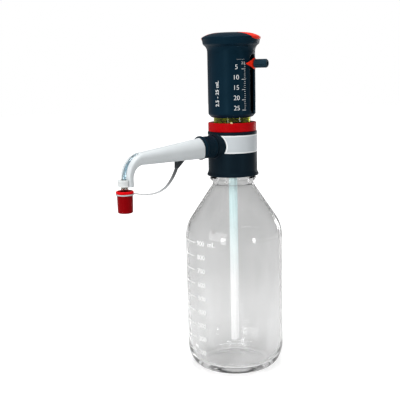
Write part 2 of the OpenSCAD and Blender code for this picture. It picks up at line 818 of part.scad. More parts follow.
// Valve body that guides the ball and clamps under the union nut
module outlet_valve() {
    nose = arm_root + 6;
    color("white") along_outlet() difference() {
        turned([
            [0, seat_face + hair], [chamber_d / 2 - hair, seat_face + hair],
            [chamber_d / 2 - hair, flange_back], [outlet_stub_d / 2 - 0.2, flange_back],
            [outlet_stub_d / 2 - 0.2, flange_back + valve_flange_t],
            [5, flange_back + valve_flange_t], [5, nose], [0, nose]
        ]);
        bar(outlet_ball_d / 2 + 0.1, seat_face - over, spring_end);
        bar(tube_bore / 2, spring_end - over, nose + over);
        bar(tube_d / 2 + hair, arm_root - 2, nose + over);
    }
}

// Sealing ring in the end of the outlet's stub
module outlet_o_ring() {
    color([0.1, 0.1, 0.1]) along_outlet() translate([0, 0, outlet_stub_end - o_ring_section_r])
        rotate_extrude() translate([o_ring_r, 0]) circle(r = o_ring_section_r, $fn = 24);
}

// Ribbed union nut that holds the spout
module union_nut() {
    r = nut_d / 2;
    bore_r = outlet_stub_d / 2 + run;
    hole_r = arm_spigot_r + run;
    ribs = 40;
    color([0.07, 0.12, 0.18]) along_outlet() difference() {
        turned([
            [bore_r, nut_back], [r - 0.9, nut_back], [r - 0.5, nut_back + 0.5], [r - 0.5, nut_back + 1.6],
            [r, nut_back + 2], [r, nut_front - 2], [r + 0.6, nut_front - 1.6], [r + 0.6, nut_front - 0.6],
            [r, nut_front], [hole_r, nut_front], [hole_r, nut_front - nut_flange_t],
            [bore_r, nut_front - nut_flange_t]
        ]);
        for (i = [0:ribs - 1]) rotate([0, 0, 360 / ribs * i])
            translate([r + 0.25, 0, nut_back + 2.4]) cylinder(d = 0.9, h = nut_l - 5, $fn = 16);
    }
}

arm_spigot_r = 7.6;

// Section of the spout between an upper and a lower point of its outline, w wide.
// The upper side is an arch whose exponent runs from a pointed one to a flat one.
function section(top, foot, w, power) =
    let (
        mid = (top + foot) / 2,
        half_h = norm(top - foot) / 2,
        up = (top - foot) / norm(top - foot),
        crown = [for (i = [0:13]) let (c = cos(180 * i / 14))
            [w / 2 * c, half_h * pow(1 - pow(abs(c), power), 1 / power)]],
        belly = [for (i = [0:13]) let (c = cos(180 * i / 14))
            [-w / 2 * c, -half_h * pow(1 - pow(abs(c), 4.5), 1 / 4.5)]]
    )
    [for (p = concat(crown, belly)) [-(mid + up * p[1])[0], p[0], (mid + up * p[1])[1]]];

// Upper and lower line of the elbow at a turn from 0, level, to 90, straight down
function elbow_top(turn) = elbow_out + elbow_out_r * [sin(turn), cos(turn)];
function elbow_foot(turn) = elbow_in + elbow_in_r * [sin(turn), cos(turn)];

// Section of the open channel: half round at the bottom, straight towards the mouth at +X
module channel_section() {
    r = channel_w / 2 + hair;
    polygon(concat(arc([0, 0], r, 90, 270, 12), [[8, -r], [8, r]]));
}

// Open channel that takes the discharge tube round the elbow and down to the nozzle
module tube_channel() {
    r = channel_w / 2;
    bend_z = outlet_z - tube_bend_r;
    along_outlet() bar(r, arm_root, bend_u);
    translate([-bend_u, 0, bend_z]) rotate([90, 0, 0]) {
        rotate_extrude(angle = channel_start + 2, start = 90) translate([tube_bend_r, 0]) circle(r = r, $fn = 32);
        rotate_extrude(angle = 91 - channel_start, start = 90 + channel_start)
            translate([tube_bend_r, 0]) channel_section();
    }
    translate([-nozzle_reach, 0, arm_end_z - over]) rotate([0, 0, 180])
        linear_extrude(bend_z - arm_end_z + over) channel_section();
}

// Spout: a tapering arm with an elbow, whose outer side is an open channel for the discharge tube
module discharge_arm() {
    root_top = [arm_root, outlet_z + arm_root_h / 2 - 0.4];
    root_foot = [arm_root, outlet_z - arm_root_h / 2 + 0.1];
    straight = [for (i = [0:5]) let (k = i / 6) section(
        root_top + (elbow_top(0) - root_top) * k, root_foot + (elbow_foot(0) - root_foot) * k,
        arm_root_w + (elbow_w - arm_root_w) * k, 1.7 + 0.7 * k)];
    elbow = [for (t = [0:7.5:90]) section(
        elbow_top(t), elbow_foot(t), elbow_w + (arm_end_w - elbow_w) * t / 90, 2.4 + 2.6 * t / 90)];
    end = section([lip_u, arm_end_z], [lip_u - elbow_back, arm_end_z], arm_end_w, 5);
    color([0.86, 0.88, 0.89]) difference() {
        union() {
            skin(concat(straight, elbow, [end]));
            along_outlet() bar(arm_spigot_r, nut_front - nut_flange_t, arm_root + over);
        }
        along_outlet() bar(5 + hair, nut_front - nut_flange_t - over, arm_root + 6 + hair);
        at_nozzle() bar(nozzle_d / 2 + hair, arm_end_z - over, arm_end_z + nozzle_socket_h);
        tube_channel();
    }
}

// Clear tube from the outlet valve through the spout and round the elbow to the nozzle
module discharge_tube() {
    r = tube_d / 2;
    end_z = arm_end_z - 1.5;
    bend_z = outlet_z - tube_bend_r;
    color([0.8, 0.9, 0.95, 0.6]) difference() {
        union() {
            along_outlet() bar(r, arm_root - 1.9, bend_u);
            translate([-bend_u, 0, bend_z]) rotate([90, 0, 0])
                rotate_extrude(angle = 90, start = 90) translate([tube_bend_r, 0]) circle(r = r, $fn = 32);
            at_nozzle() bar(r, end_z, bend_z);
        }
        along_outlet() bar(tube_bore / 2, arm_root - 1.9 - over, bend_u);
        translate([-bend_u, 0, bend_z]) rotate([90, 0, 0])
            rotate_extrude(angle = 90, start = 90) translate([tube_bend_r, 0]) circle(d = tube_bore, $fn = 32);
        at_nozzle() bar(tube_bore / 2, end_z - over, bend_z);
    }
}

// Ribbed half collar that clips the nozzle to the spout's end
module nozzle_collar() {
    r = arm_end_w / 2 - 0.1;
    foot = arm_end_z + 0.5;
    top = arm_end_z + nozzle_socket_h - 0.3;
    color([0.9, 0.91, 0.92]) at_nozzle() difference() {
        turned([
            [nozzle_d / 2 + hair, foot], [r - 0.4, foot], [r, foot + 0.4], [r, top - 0.4],
            [r - 0.4, top], [nozzle_d / 2 + hair, top]
        ]);
        translate([nozzle_reach - lip_u - hair, -r - over, foot - over])
            cube([2 * r, 2 * r + 2 * over, top - foot + 2 * over]);
        for (i = [-7:7]) rotate([0, 0, 180 + 11 * i])
            translate([r + 0.2, 0, foot + 0.8]) cylinder(d = 0.7, h = top, $fn = 16);
    }
}

// Nozzle that the cap is pushed on
module nozzle() {
    r = nozzle_d / 2;
    top = arm_end_z + nozzle_socket_h - hair;
    color([0.85, 0.9, 0.92, 0.7]) at_nozzle() difference() {
        turned([
            [0, nozzle_foot_z], [r - 1.5, nozzle_foot_z], [r, nozzle_foot_z + 6], [r, top], [0, top]
        ]);
        bar(tube_bore / 2, nozzle_foot_z - over, top + over);
        bar(tube_d / 2 + hair, arm_end_z - 1.5 - hair, top + over);
    }
}

// ---- Nozzle cap and tether ----

// Push-on cap with a funnel mouth and a rounded flange
module nozzle_cap() {
    flange_r = tip_cap_flange_d / 2;
    body_r = tip_cap_d / 2;
    top = cap_top_z;
    foot = cap_foot_z;
    color([0.6, 0.02, 0.07]) at_nozzle() turned([
        [0, foot], [body_r - 1.2, foot], [body_r - 0.4, foot + 0.8], [body_r, top - flange_h - ring_h - 3],
        [body_r, top - flange_h], [flange_r - 0.6, top - flange_h], [flange_r, top - flange_h + 0.6],
        [flange_r, top - 0.8], [flange_r - 0.7, top], [cap_bore_r + 3, top],
        [cap_bore_r, top - 4.4], [cap_bore_r, foot + 2], [0, foot + 2]
    ]);
}

// Ring of the tether, under the cap's flange
module tether_ring() {
    color([0.72, 0.73, 0.74]) at_nozzle()
        tube(ring_r, tip_cap_d / 2 + hair, ring_z, ring_z + ring_h);
}

// Direction of the strap's route at a point, from its neighbours
function heading(i) =
    let (
        a = strap_route[max(0, i - 1)],
        b = strap_route[min(len(strap_route) - 1, i + 1)]
    )
    (b - a) / norm(b - a);

// Flat strap between the ring and the anchor, with rounded edges
module tether_strap() {
    sides = 8;
    color([0.6, 0.62, 0.64]) skin([for (i = [0:len(strap_route) - 1])
        let (p = strap_route[i], d = i == 0 ? [-1, 0] : heading(i), n = [-d[1], d[0]])
        [for (j = [0:sides - 1])
            let (a = 360 * (j + 0.5) / sides, across = n * strap_t / 2 * sin(a) / sin(67.5))
            [-(p + across)[0], strap_w / 2 * cos(a) / cos(22.5), outlet_z + (p + across)[1]]]
    ]);
}

// Underside of the spout at a distance from the axis
function arm_foot_z(u) =
    let (root = outlet_z - arm_root_h / 2 + 0.1, k = (u - arm_root) / (elbow_in[0] - arm_root))
    root + (elbow_in[1] + elbow_in_r - root) * k;

// Wedge that holds the strap under the spout
module tether_anchor() {
    u1 = anchor_tip[0] - anchor_l;
    u2 = anchor_tip[0] + 0.4;
    color([0.3, 0.31, 0.33]) translate([0, strap_w / 2 + 0.3, 0]) rotate([90, 0, 0])
        linear_extrude(strap_w + 0.6) polygon([
            [-u1, arm_foot_z(u1) - hair], [-u2, arm_foot_z(u2) - hair],
            [-u2 - 0.2, outlet_z + anchor_tip[1] + 0.2], [-u2 + 2.2, outlet_z + anchor_tip[1] + 0.5]
        ]);
}

bottle();
neck_seal();
valve_block();
printed_band();
vent_plug();
inlet_valve();
inlet_ball();
filling_tube_upper();
filling_tube_lower();
dosing_cylinder();
guard_sleeve();
stop_collar();
lock_ring();
index_pip();
piston();
piston_seal();
housing();
top_cap();
grip_pad_front();
grip_pad_rear();
pointer();
pointer_slider();
clamp_knob();
clamp_stud();
outlet_seat();
outlet_ball();
outlet_spring();
outlet_valve();
outlet_o_ring();
union_nut();
discharge_arm();
discharge_tube();
nozzle_collar();
nozzle();
nozzle_cap();
tether_ring();
tether_strap();
tether_anchor();
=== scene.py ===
"""Camera, light, finishes and fine surfaces of a bottle top dispenser.

Sizes are in millimetres until a mesh is made, and Blender's objects are in metres.
Z is up from the bottle's foot and the spout points along -X. The plunger stands
lifted by the smallest dose, as it does just before that dose is pressed out.
"""

from __future__ import annotations

import logging
import math
from dataclasses import dataclass, field
from enum import Enum
from typing import Callable, Protocol, Sequence

import bmesh
import bpy
import numpy as np
from mathutils import Matrix

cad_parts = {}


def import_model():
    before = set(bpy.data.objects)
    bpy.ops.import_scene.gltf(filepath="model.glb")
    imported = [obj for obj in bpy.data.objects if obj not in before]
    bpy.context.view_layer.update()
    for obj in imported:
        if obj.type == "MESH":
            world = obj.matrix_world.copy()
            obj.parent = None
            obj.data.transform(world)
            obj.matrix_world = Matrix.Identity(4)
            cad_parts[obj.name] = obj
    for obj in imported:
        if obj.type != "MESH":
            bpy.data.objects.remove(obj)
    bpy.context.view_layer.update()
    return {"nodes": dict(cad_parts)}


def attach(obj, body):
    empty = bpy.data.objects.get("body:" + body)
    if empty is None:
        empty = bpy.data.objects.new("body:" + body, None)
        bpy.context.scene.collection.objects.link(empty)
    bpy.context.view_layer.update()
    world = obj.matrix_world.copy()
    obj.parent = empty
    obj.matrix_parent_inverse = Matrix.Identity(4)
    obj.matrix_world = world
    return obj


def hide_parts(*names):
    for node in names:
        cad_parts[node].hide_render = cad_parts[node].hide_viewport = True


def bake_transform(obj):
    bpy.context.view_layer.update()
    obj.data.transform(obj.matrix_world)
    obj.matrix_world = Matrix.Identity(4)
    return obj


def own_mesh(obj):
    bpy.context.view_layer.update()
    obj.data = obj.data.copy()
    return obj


Array = np.ndarray
Pair = tuple[float, float]
Triple = tuple[float, float, float]
Colour = Triple
Socket = bpy.types.NodeSocket
Level = float | Socket
Piece = bpy.types.Object

MM = 0.001
GLYPH_EXTRUDE = 0.02
MERGE = 2e-6
NO_LENGTH = 1e-7
LOG = logging.getLogger("dispenser")


class Axis(Enum):
    """Axis along which a colour changes."""

    X = "X"
    Z = "Z"


class Body(Enum):
    """Body of the frame on which a piece rides."""

    BOTTLE = "bottle"
    LOWER_TUBE = "lower_tube"
    DISPENSER = "dispenser"
    RING = "ring"
    PLUNGER = "plunger"
    POINTER = "volume_pointer"
    CLAMP = "clamp"
    NUT = "nut"
    CAP = "cap"


class Slot(Enum):
    """Material slot of the record from which a piece takes its finish."""

    BOTTLE_GLASS = "bottle_glass"
    FILLING_TUBE = "filling_tube_plastic"
    NAVY = "navy_plastic"
    BAND = "band_plastic"
    RED = "red_plastic"
    CREAM = "cream_plastic"
    OLIVE = "olive_glass"
    CLEAR = "clear_glass"
    DARK = "dark_plastic"
    WHITE = "white_plastic"
    ORANGE = "orange_plastic"
    ARM = "arm_plastic"
    TUBE = "tube_plastic"
    CAP_RED = "cap_plastic"
    GREY = "grey_plastic"
    STEEL = "steel"


# ---------------------------------------------------------------- surfaces


class Form(Protocol):
    """Anything that gives points in millimetres and faces over them."""

    def flat(self) -> tuple[Array, list[list[int]]]:
        """Gives the points, one to a row, and the faces as lists of rows."""


@dataclass
class Patch:
    """Grid of points, rows by columns by three, and how its edges close."""

    points: Array  # The grid in millimetres
    around: bool = True  # The last column joins the first
    loop: bool = False  # The last row joins the first
    capped: bool = False  # The first and the last row are each filled with one face
    holes: Array | None = None  # Cells that stay open, rows by columns, or None

    def flat(self) -> tuple[Array, list[list[int]]]:
        """Gives the grid as a mesh of quads.

        Returns:
            The points, one to a row, and the faces as lists of rows.
        """
        rows, cols = self.points.shape[:2]
        row = np.arange(rows if self.loop else rows - 1)[:, None]
        col = np.arange(cols if self.around else cols - 1)[None, :]
        next_row, next_col = (row + 1) % rows, (col + 1) % cols
        corners = np.broadcast_arrays(
            row * cols + col, row * cols + next_col, next_row * cols + next_col, next_row * cols + col
        )
        quads = np.stack(corners, -1)
        if self.holes is not None:
            quads = quads[~self.holes]
        faces = quads.reshape(-1, 4).tolist()
        if self.capped:
            faces.append(np.arange(cols)[::-1].tolist())
            faces.append(((rows - 1) * cols + np.arange(cols)).tolist())
        return self.points.reshape(-1, 3), faces


@dataclass
class Loose:
    """Points with faces of any kind, such as a glyph's."""

    points: Array
    faces: list[list[int]]

    def flat(self) -> tuple[Array, list[list[int]]]:
        """Gives the points, one to a row, and the faces as lists of rows."""
        return self.points, self.faces


def eased(
    points: Sequence[Sequence[float]], radius: float = 0.4, steps: int = 4, closed: bool = False
) -> Array:
    """Rounds the corners of a line of points.

    Each corner P gives way to the curve (1-t)^2 A + 2t(1-t) P + t^2 B, where A and B
    lie on its two sides, the radius away or a little under half of that side.

    Args:
        points: Corners of the line.
        radius: How far from a corner its curve starts.
        steps: Stretches in each curve.
        closed: The last corner joins the first.

    Returns:
        The rounded line.
    """
    line = np.asarray(points, float)
    core = line if closed else line[1:-1]
    before = np.roll(line, 1, 0) if closed else line[:-2]
    after = np.roll(line, -1, 0) if closed else line[2:]

    def towards(end: Array) -> Array:
        """Goes from each corner a little way towards its neighbour."""
        side = end - core
        length = np.linalg.norm(side, axis=1, keepdims=True)
        return core + side / length * np.minimum(radius, 0.45 * length)

    a, b = towards(before), towards(after)
    t = np.linspace(0, 1, steps + 1)[None, :, None]
    curve = (1 - t) ** 2 * a[:, None] + 2 * t * (1 - t) * core[:, None] + t**2 * b[:, None]
    curve = curve.reshape(-1, line.shape[1])
    return curve if closed else np.vstack([line[:1], curve, line[-1:]])


def arc(centre: Pair, a: float, b: float, first: float, last: float, steps: int) -> Array:
    """Points of an elliptical arc: centre + (a cos t, b sin t), t from first to last in degrees."""
    t = np.radians(np.linspace(first, last, steps + 1))
    return np.stack([centre[0] + a * np.cos(t), centre[1] + b * np.sin(t)], -1)


def ramp(value: Array, low: float, high: float) -> Array:
    """Goes smoothly from 0 at low to 1 at high, as 3t^2 - 2t^3."""
    t = np.clip((value - low) / (high - low), 0, 1)
    return t * t * (3 - 2 * t)


RadiusRule = Callable[[Array, Array, Array], Array]


def turned(profile: Array, steps: int = 160, rule: RadiusRule | None = None) -> Array:
    """Turns a profile about the Z axis.

    The profile's point (r, z) goes to (r cos a, r sin a, z) for every angle a.

    Args:
        profile: Points of radius and height.
        steps: Number of angles in a full turn.
        rule: Gives the changed radius for angles, radii and heights.

    Returns:
        A grid with a row for each point of the profile.
    """
    angle = np.linspace(0, 2 * math.pi, steps, endpoint=False)[None, :]
    radius, height = np.broadcast_arrays(profile[:, :1], profile[:, 1:2])
    radius, height, angle = np.broadcast_arrays(radius, height, angle)
    if rule is not None:
        radius = rule(angle, radius, height)
    return np.stack([radius * np.cos(angle), radius * np.sin(angle), height], -1)


def moved(points: Array, x: float = 0, y: float = 0, z: float = 0) -> Array:
    """Shifts points."""
    return points + np.array([x, y, z])


def along_axis(points: Array, direction: Sequence[float], origin: Sequence[float]) -> Array:
    """Lays points drawn about Z along another axis.

    The first two coordinates go to two directions across the axis, the third goes
    along it: origin + x side + y up + z direction.

    Args:
        points: Points drawn about Z.
        direction: Unit vector of the axis, level.
        origin: Where the drawing's own origin goes.

    Returns:
        The points in the object's frame.
    """
    forward = np.asarray(direction, float)
    up = np.array([0.0, 0.0, 1.0])
    side = np.cross(up, forward)
    return np.asarray(origin) + points[..., :1] * side + points[..., 1:2] * up + points[..., 2:] * forward


def swept(route: Array, section: Callable[[Array], Array]) -> Array:
    """Carries a section along a route in the plane y = 0.

    A section point (across, y) at the route's point P with normal n goes to
    P + across n, and keeps its y.

    Args:
        route: Points of x and z.
        section: Gives sections, one for each share of the route from 0 to 1.

    Returns:
        A grid with a row for each point of the route.
    """
    step = np.gradient(route, axis=0)
    tangent = step / np.linalg.norm(step, axis=1, keepdims=True)
    normal = np.stack([-tangent[:, 1], tangent[:, 0]], -1)
    length = np.concatenate([[0], np.cumsum(np.linalg.norm(np.diff(route, axis=0), axis=1))])
    shape = section(length / length[-1])
    flat = route[:, None] + shape[..., :1] * normal[:, None]
    return np.stack([flat[..., 0], shape[..., 1], flat[..., 1]], -1)


def smooth_route(points: Sequence[Sequence[float]], count: int) -> Array:
    """Carries a Catmull-Rom curve through points.

    Between P1 and P2 it is half of 2 P1 + (P2-P0) t + (2P0-5P1+4P2-P3) t^2
    + (3P1-P0-3P2+P3) t^3.

    Args:
        points: Points through which the curve goes.
        count: Number of points on the curve.

    Returns:
        The curve's points.
    """
    p = np.asarray(points, float)
    p = np.vstack([2 * p[0] - p[1], p, 2 * p[-1] - p[-2]])
    at = np.linspace(0, len(points) - 1 - 1e-9, count)
    i, t = at.astype(int), (at % 1)[:, None]
    p0, p1, p2, p3 = p[i], p[i + 1], p[i + 2], p[i + 3]
    return 0.5 * (
        2 * p1 + (p2 - p0) * t + (2 * p0 - 5 * p1 + 4 * p2 - p3) * t**2 + (3 * p1 - p0 - 3 * p2 + p3) * t**3
    )


def wafer(front: Array, back: Array) -> Patch:
    """Closes the space between two open grids of the same size.

    Every row runs along the front and returns along the back, and the first and last
    rows are folded onto the back, so that the ends close.

    Args:
        front: Grid of the face that is seen.
        back: Grid of the face behind it.

    Returns:
        The closed surface.
    """
    grid = np.concatenate([front, back[:, ::-1]], 1)
    first = np.concatenate([back[:1], back[:1, ::-1]], 1)
    last = np.concatenate([back[-1:], back[-1:, ::-1]], 1)
    return Patch(np.concatenate([first, grid, last], 0))


def glyphs(text: str, height: float, depth: float, weight: float = 0.0) -> Loose:
    """Makes generic lettering as a thin solid.

    Args:
        text: The characters.
        height: Height of a numeral in millimetres.
        depth: Thickness in millimetres.
        weight: How far the strokes are widened.

    Returns:
        The lettering, centred on x = 0, y = 0, with its back at z = 0.
    """
    curve = bpy.data.curves.new("lettering", "FONT")
    curve.body = text
    curve.align_x = "CENTER"
    curve.resolution_u = 4
    curve.offset = weight
    curve.extrude = GLYPH_EXTRUDE
    drawn = bpy.data.objects.new("lettering", curve)
    bpy.context.scene.collection.objects.link(drawn)
    bpy.context.view_layer.update()
    mesh = bpy.data.meshes.new_from_object(drawn)
    points = np.zeros(len(mesh.vertices) * 3, np.float32)
    mesh.vertices.foreach_get("co", points)
    points = points.reshape(-1, 3).astype(float)
    faces = [list(face.vertices) for face in mesh.polygons]
    bpy.data.objects.remove(drawn)
    bpy.data.curves.remove(curve)
    bpy.data.meshes.remove(mesh)
    low, high = points.min(0), points.max(0)
    points -= (low + high) / 2
    wide, deep = height / (high - low)[1], depth / (high - low)[2]
    points *= np.array([wide, wide, deep])
    points[:, 2] += depth / 2
    return Loose(points, faces)


@dataclass
class RoundPrint:
    """Print on a round surface: strips and lettering that follow its radius."""

    radius: float  # Radius of the surface
    height: float = 0.1  # Thickness of the print
    weight: float = -0.006  # How far the strokes of the lettering are widened
    gap: float = 0.02  # How far the print's back lies off the surface

    def wrap(self, drawing: Loose, angle: float, level: float) -> Loose:
        """Wraps a flat drawing: x goes round by x / radius, y goes up, z goes out.

        Args:
            drawing: What is printed, in millimetres.
            angle: Direction of its middle in degrees.
            level: Level of its middle.

        Returns:
            The drawing on the surface.
        """
        x, y, z = drawing.points.T
        turn = math.radians(angle) + x / self.radius
        out = self.radius + self.gap + z
        return Loose(np.stack([out * np.cos(turn), out * np.sin(turn), level + y], -1), drawing.faces)

    def number(self, text: str, height: float, angle: float, level: float) -> Loose:
        """Lettering centred at an angle in degrees and a level."""
        return self.wrap(glyphs(text, height, self.height, self.weight), angle, level)

    def strip(self, first: float, last: float, level: float, width: float, steps: int = 10) -> Patch:
        """Prints a strip, a rectangle carried round the axis.

        Args:
            first: Direction of its start in degrees.
            last: Direction of its end.
            level: Level of its middle.
            width: Width of the strip.
            steps: Number of places round the axis.

        Returns:
            The strip, closed at both ends.
        """
        turn = np.radians(np.linspace(first, last, steps))[:, None]
        out = self.radius + self.gap + self.height * np.array([[0, 1, 1, 0]])
        up = level + width / 2 * np.array([[-1, -1, 1, 1]]) + 0 * turn
        return Patch(np.stack([out * np.cos(turn), out * np.sin(turn), up], -1), capped=True)


# ---------------------------------------------------------------- finishes


class Board:
    """Lays out the nodes of one material round its Principled shader."""

    def __init__(self, name: str) -> None:
        """Starts a material with a bare Principled shader."""
        self.material = bpy.data.materials.new(name)
        self.material.use_nodes = True
        self.tree = self.material.node_tree
        self.shader = next(n for n in self.tree.nodes if n.type == "BSDF_PRINCIPLED")
        self.place = self.tree.nodes.new("ShaderNodeTexCoord").outputs["Object"]

    def put(self, socket: str, value: float | Colour) -> None:
        """Sets one of the shader's own sockets."""
        whole = (*value, 1.0) if isinstance(value, tuple) else value
        self.shader.inputs[socket].default_value = whole

    def link(self, output: Socket, socket: str) -> None:
        """Links an output to one of the shader's sockets."""
        self.tree.links.new(output, self.shader.inputs[socket])

    def stretched(self, x: float, y: float, z: float) -> Socket:
        """Scales the object's coordinates.

        Args:
            x: Factor along X.
            y: Factor along Y.
            z: Factor along Z, below 1 for features drawn out upright.

        Returns:
            The scaled coordinates.
        """
        node = self.tree.nodes.new("ShaderNodeMapping")
        node.inputs["Scale"].default_value = (x, y, z)
        self.tree.links.new(self.place, node.inputs["Vector"])
        return node.outputs["Vector"]

    def noise(self, size: float, detail: float = 2.0, source: Socket | None = None) -> Socket:
        """Lays a noise.

        Args:
            size: Width of its features in millimetres.
            detail: How many finer layers it has.
            source: Coordinates other than the object's own.

        Returns:
            The noise, from 0 to 1.
        """
        node = self.tree.nodes.new("ShaderNodeTexNoise")
        node.inputs["Scale"].default_value = 1 / (size * MM)
        node.inputs["Detail"].default_value = detail
        self.tree.links.new(source or self.place, node.inputs["Vector"])
        return node.outputs["Fac"]

    def spread(self, value: Socket, low: float, high: float, to_low: float, to_high: float) -> Socket:
        """Maps one range on another, and stops at its ends.

        Args:
            value: What is mapped.
            low: Lower end of its range.
            high: Upper end of its range.
            to_low: What the lower end becomes.
            to_high: What the upper end becomes.

        Returns:
            The mapped value.
        """
        node = self.tree.nodes.new("ShaderNodeMapRange")
        self.tree.links.new(value, node.inputs["Value"])
        for socket, number in zip(("From Min", "From Max", "To Min", "To Max"), (low, high, to_low, to_high)):
            node.inputs[socket].default_value = number
        return node.outputs["Result"]

    def mix(self, share: Socket, low: Colour, high: Colour) -> Socket:
        """Mixes two colours.

        Args:
            share: How much of the second colour is mixed in, from 0 to 1.
            low: The first colour.
            high: The second colour.

        Returns:
            The mixed colour.
        """
        node = self.tree.nodes.new("ShaderNodeMix")
        node.data_type = "RGBA"
        self.tree.links.new(share, node.inputs[0])
        node.inputs[6].default_value = (*low, 1)
        node.inputs[7].default_value = (*high, 1)
        return node.outputs[2]

    def axis(self, axis: Axis) -> Socket:
        """Takes one of the object's coordinates.

        Args:
            axis: Which one.

        Returns:
            The coordinate in metres.
        """
        node = self.tree.nodes.new("ShaderNodeSeparateXYZ")
        self.tree.links.new(self.place, node.inputs["Vector"])
        return node.outputs[axis.value]

    def bump(self, height: Socket, depth: float) -> Socket:
        """Raises the surface.

        Args:
            height: How high each place lies, from 0 to 1.
            depth: Height in millimetres for a value of 1.

        Returns:
            The raised surface's normal.
        """
        node = self.tree.nodes.new("ShaderNodeBump")
        node.inputs["Distance"].default_value = depth * MM
        self.tree.links.new(height, node.inputs["Height"])
        return node.outputs["Normal"]


def shaded(colour: Colour, factor: float) -> Colour:
    """Darkens or lightens a colour."""
    return tuple(min(1.0, part * factor) for part in colour)


@dataclass(frozen=True)
class Finish:
    """A finish with a name, from which its material is made once."""

    name: str  # Name of the material
    colour: Colour

    def material(self) -> bpy.types.Material:
        """Gives the finish's material, and makes it at the first call."""
        return bpy.data.materials.get(self.name) or self.lay().material

    def lay(self) -> Board:
        """Lays the finish's nodes."""
        raise NotImplementedError


@dataclass(frozen=True)
class Moulded(Finish):
    """Injection moulded plastic: faint mottling, fine grain and small scuffs."""

    roughness: float = 0.35
    gloss: float = 0.35
    grain: float = 0.5  # Width of the moulded grain in millimetres
    relief: float = 0.006  # Depth of the grain in millimetres
    mottle: float = 0.07  # How far the colour strays from its mean
    tint: Colour = (1.0, 1.0, 1.0)  # Colour of the gloss seen straight on

    def lay(self) -> Board:
        """Lays mottled colour, scuffed roughness and a grain.

        Returns:
            The board with its nodes.
        """
        board = Board(self.name)
        clouds = board.spread(board.noise(14, 3), 0.3, 0.7, 0, 1)
        low, high = shaded(self.colour, 1 - self.mottle), shaded(self.colour, 1 + self.mottle)
        board.link(board.mix(clouds, low, high), "Base Color")
        scuffs = board.noise(3.5, 6, board.stretched(1, 1, 0.25))
        board.link(board.spread(scuffs, 0.3, 0.75, self.roughness * 0.85, self.roughness * 1.25), "Roughness")
        board.link(board.bump(board.noise(self.grain, 3), self.relief), "Normal")
        board.put("Specular IOR Level", self.gloss)
        board.put("Specular Tint", self.tint)
        return board


@dataclass(frozen=True)
class Clear(Finish):
    """Clear glass or plastic with a tint, slow waves and faint smears."""

    roughness: float = 0.02  # Roughness of the smears
    index: float = 1.47
    waves: float = 0.0  # Depth of the moulded waves in millimetres
    streaks: float = 0.0  # How far the tint strays from its mean in slow upright streaks
    coat: float = 0.0  # Weight of a clear coat, which mirrors without bending the light

    def lay(self) -> Board:
        """Lays a transmitting shader with smears and waves.

        Returns:
            The board with its nodes.
        """
        board = Board(self.name)
        board.put("Base Color", self.colour)
        board.put("Transmission Weight", 1.0)
        board.put("IOR", self.index)
        board.put("Coat Weight", self.coat)
        smears = board.noise(22, 3)
        board.link(board.spread(smears, 0.45, 0.75, 0.0, self.roughness), "Roughness")
        if self.waves:
            slow = board.noise(34, 1, board.stretched(1, 1, 0.45))
            board.link(board.bump(slow, self.waves), "Normal")
        if self.streaks:
            cloud = board.spread(board.noise(30, 2, board.stretched(1, 1, 0.3)), 0.35, 0.65, 0, 1)
            low, high = shaded(self.colour, 1 - self.streaks), shaded(self.colour, 1 + self.streaks)
            board.link(board.mix(cloud, low, high), "Base Color")
        return board


@dataclass(frozen=True)
class MilkyTube(Finish):
    """Translucent tube that is tinted above and paler below."""

    foot: Colour = (0.9, 0.9, 0.9)  # Colour at the lower end
    low: float = 90.0  # Height in millimetres where the tint starts
    high: float = 170.0  # Height where it is full
    body: float = 0.06  # Share of light that passes straight through
    index: float = 1.3

    def lay(self) -> Board:
        """Lays the two tones over the height, with extrusion lines along the tube.

        Returns:
            The board with its nodes.
        """
        board = Board(self.name)
        rise = board.spread(board.axis(Axis.Z), self.low * MM, self.high * MM, 0, 1)
        board.link(board.mix(rise, self.foot, self.colour), "Base Color")
        board.put("Transmission Weight", self.body)
        board.put("IOR", self.index)
        lines = board.noise(1.2, 2, board.stretched(1, 1, 0.03))
        board.link(board.spread(lines, 0.3, 0.7, 0.22, 0.36), "Roughness")
        board.link(board.bump(lines, 0.01), "Normal")
        return board


@dataclass(frozen=True)
class Enamel(Finish):
    """Printed ink: matt, with small thin spots."""

    def lay(self) -> Board:
        """Lays a worn, slightly uneven ink.

        Returns:
            The board with its nodes.
        """
        board = Board(self.name)
        spots = board.spread(board.noise(0.7, 4), 0.35, 0.6, 0, 1)
        board.link(board.mix(spots, shaded(self.colour, 0.82), self.colour), "Base Color")
        board.link(board.spread(spots, 0, 1, 0.6, 0.48), "Roughness")
        board.link(board.bump(board.noise(0.25, 2), 0.008), "Normal")
        return board


@dataclass(frozen=True)
class StrapPaintedShade(Finish):
    """Moulded strap whose colour runs along X into a painted shade, darker near the dispenser where the strap
    is turned from the light.
    """

    # Painted shade: the dark colour the strap takes near the dispenser, where it lies in shade
    painted_shade: Colour = (0.1, 0.1, 0.1)  # Colour towards the dispenser
    low: float = -100.0  # Distance along X in millimetres where the change starts
    high: float = -80.0  # Distance where it is full

    def lay(self) -> Board:
        """Lays the run from the strap's colour into its painted shade, and a grain.

        Returns:
            The board with its nodes.
        """
        board = Board(self.name)
        run = board.spread(board.axis(Axis.X), self.low * MM, self.high * MM, 0, 1)
        board.link(board.mix(run, self.colour, self.painted_shade), "Base Color")
        board.link(board.spread(board.noise(2, 4), 0.3, 0.7, 0.4, 0.55), "Roughness")
        board.link(board.bump(board.noise(0.4, 3), 0.01), "Normal")
        return board


@dataclass(frozen=True)
class TurnedSteel(Finish):
    """Bright steel with fine turning marks."""

    roughness: float = 0.22

    def lay(self) -> Board:
        """Lays metal with fine marks in its roughness and surface.

        Returns:
            The board with its nodes.
        """
        board = Board(self.name)
        marks = board.noise(0.3, 4, board.stretched(1, 1, 4))
        board.link(board.mix(marks, shaded(self.colour, 0.9), self.colour), "Base Color")
        board.put("Metallic", 1.0)
        board.link(board.spread(marks, 0.3, 0.7, self.roughness * 0.7, self.roughness * 1.4), "Roughness")
        board.link(board.bump(marks, 0.004), "Normal")
        return board


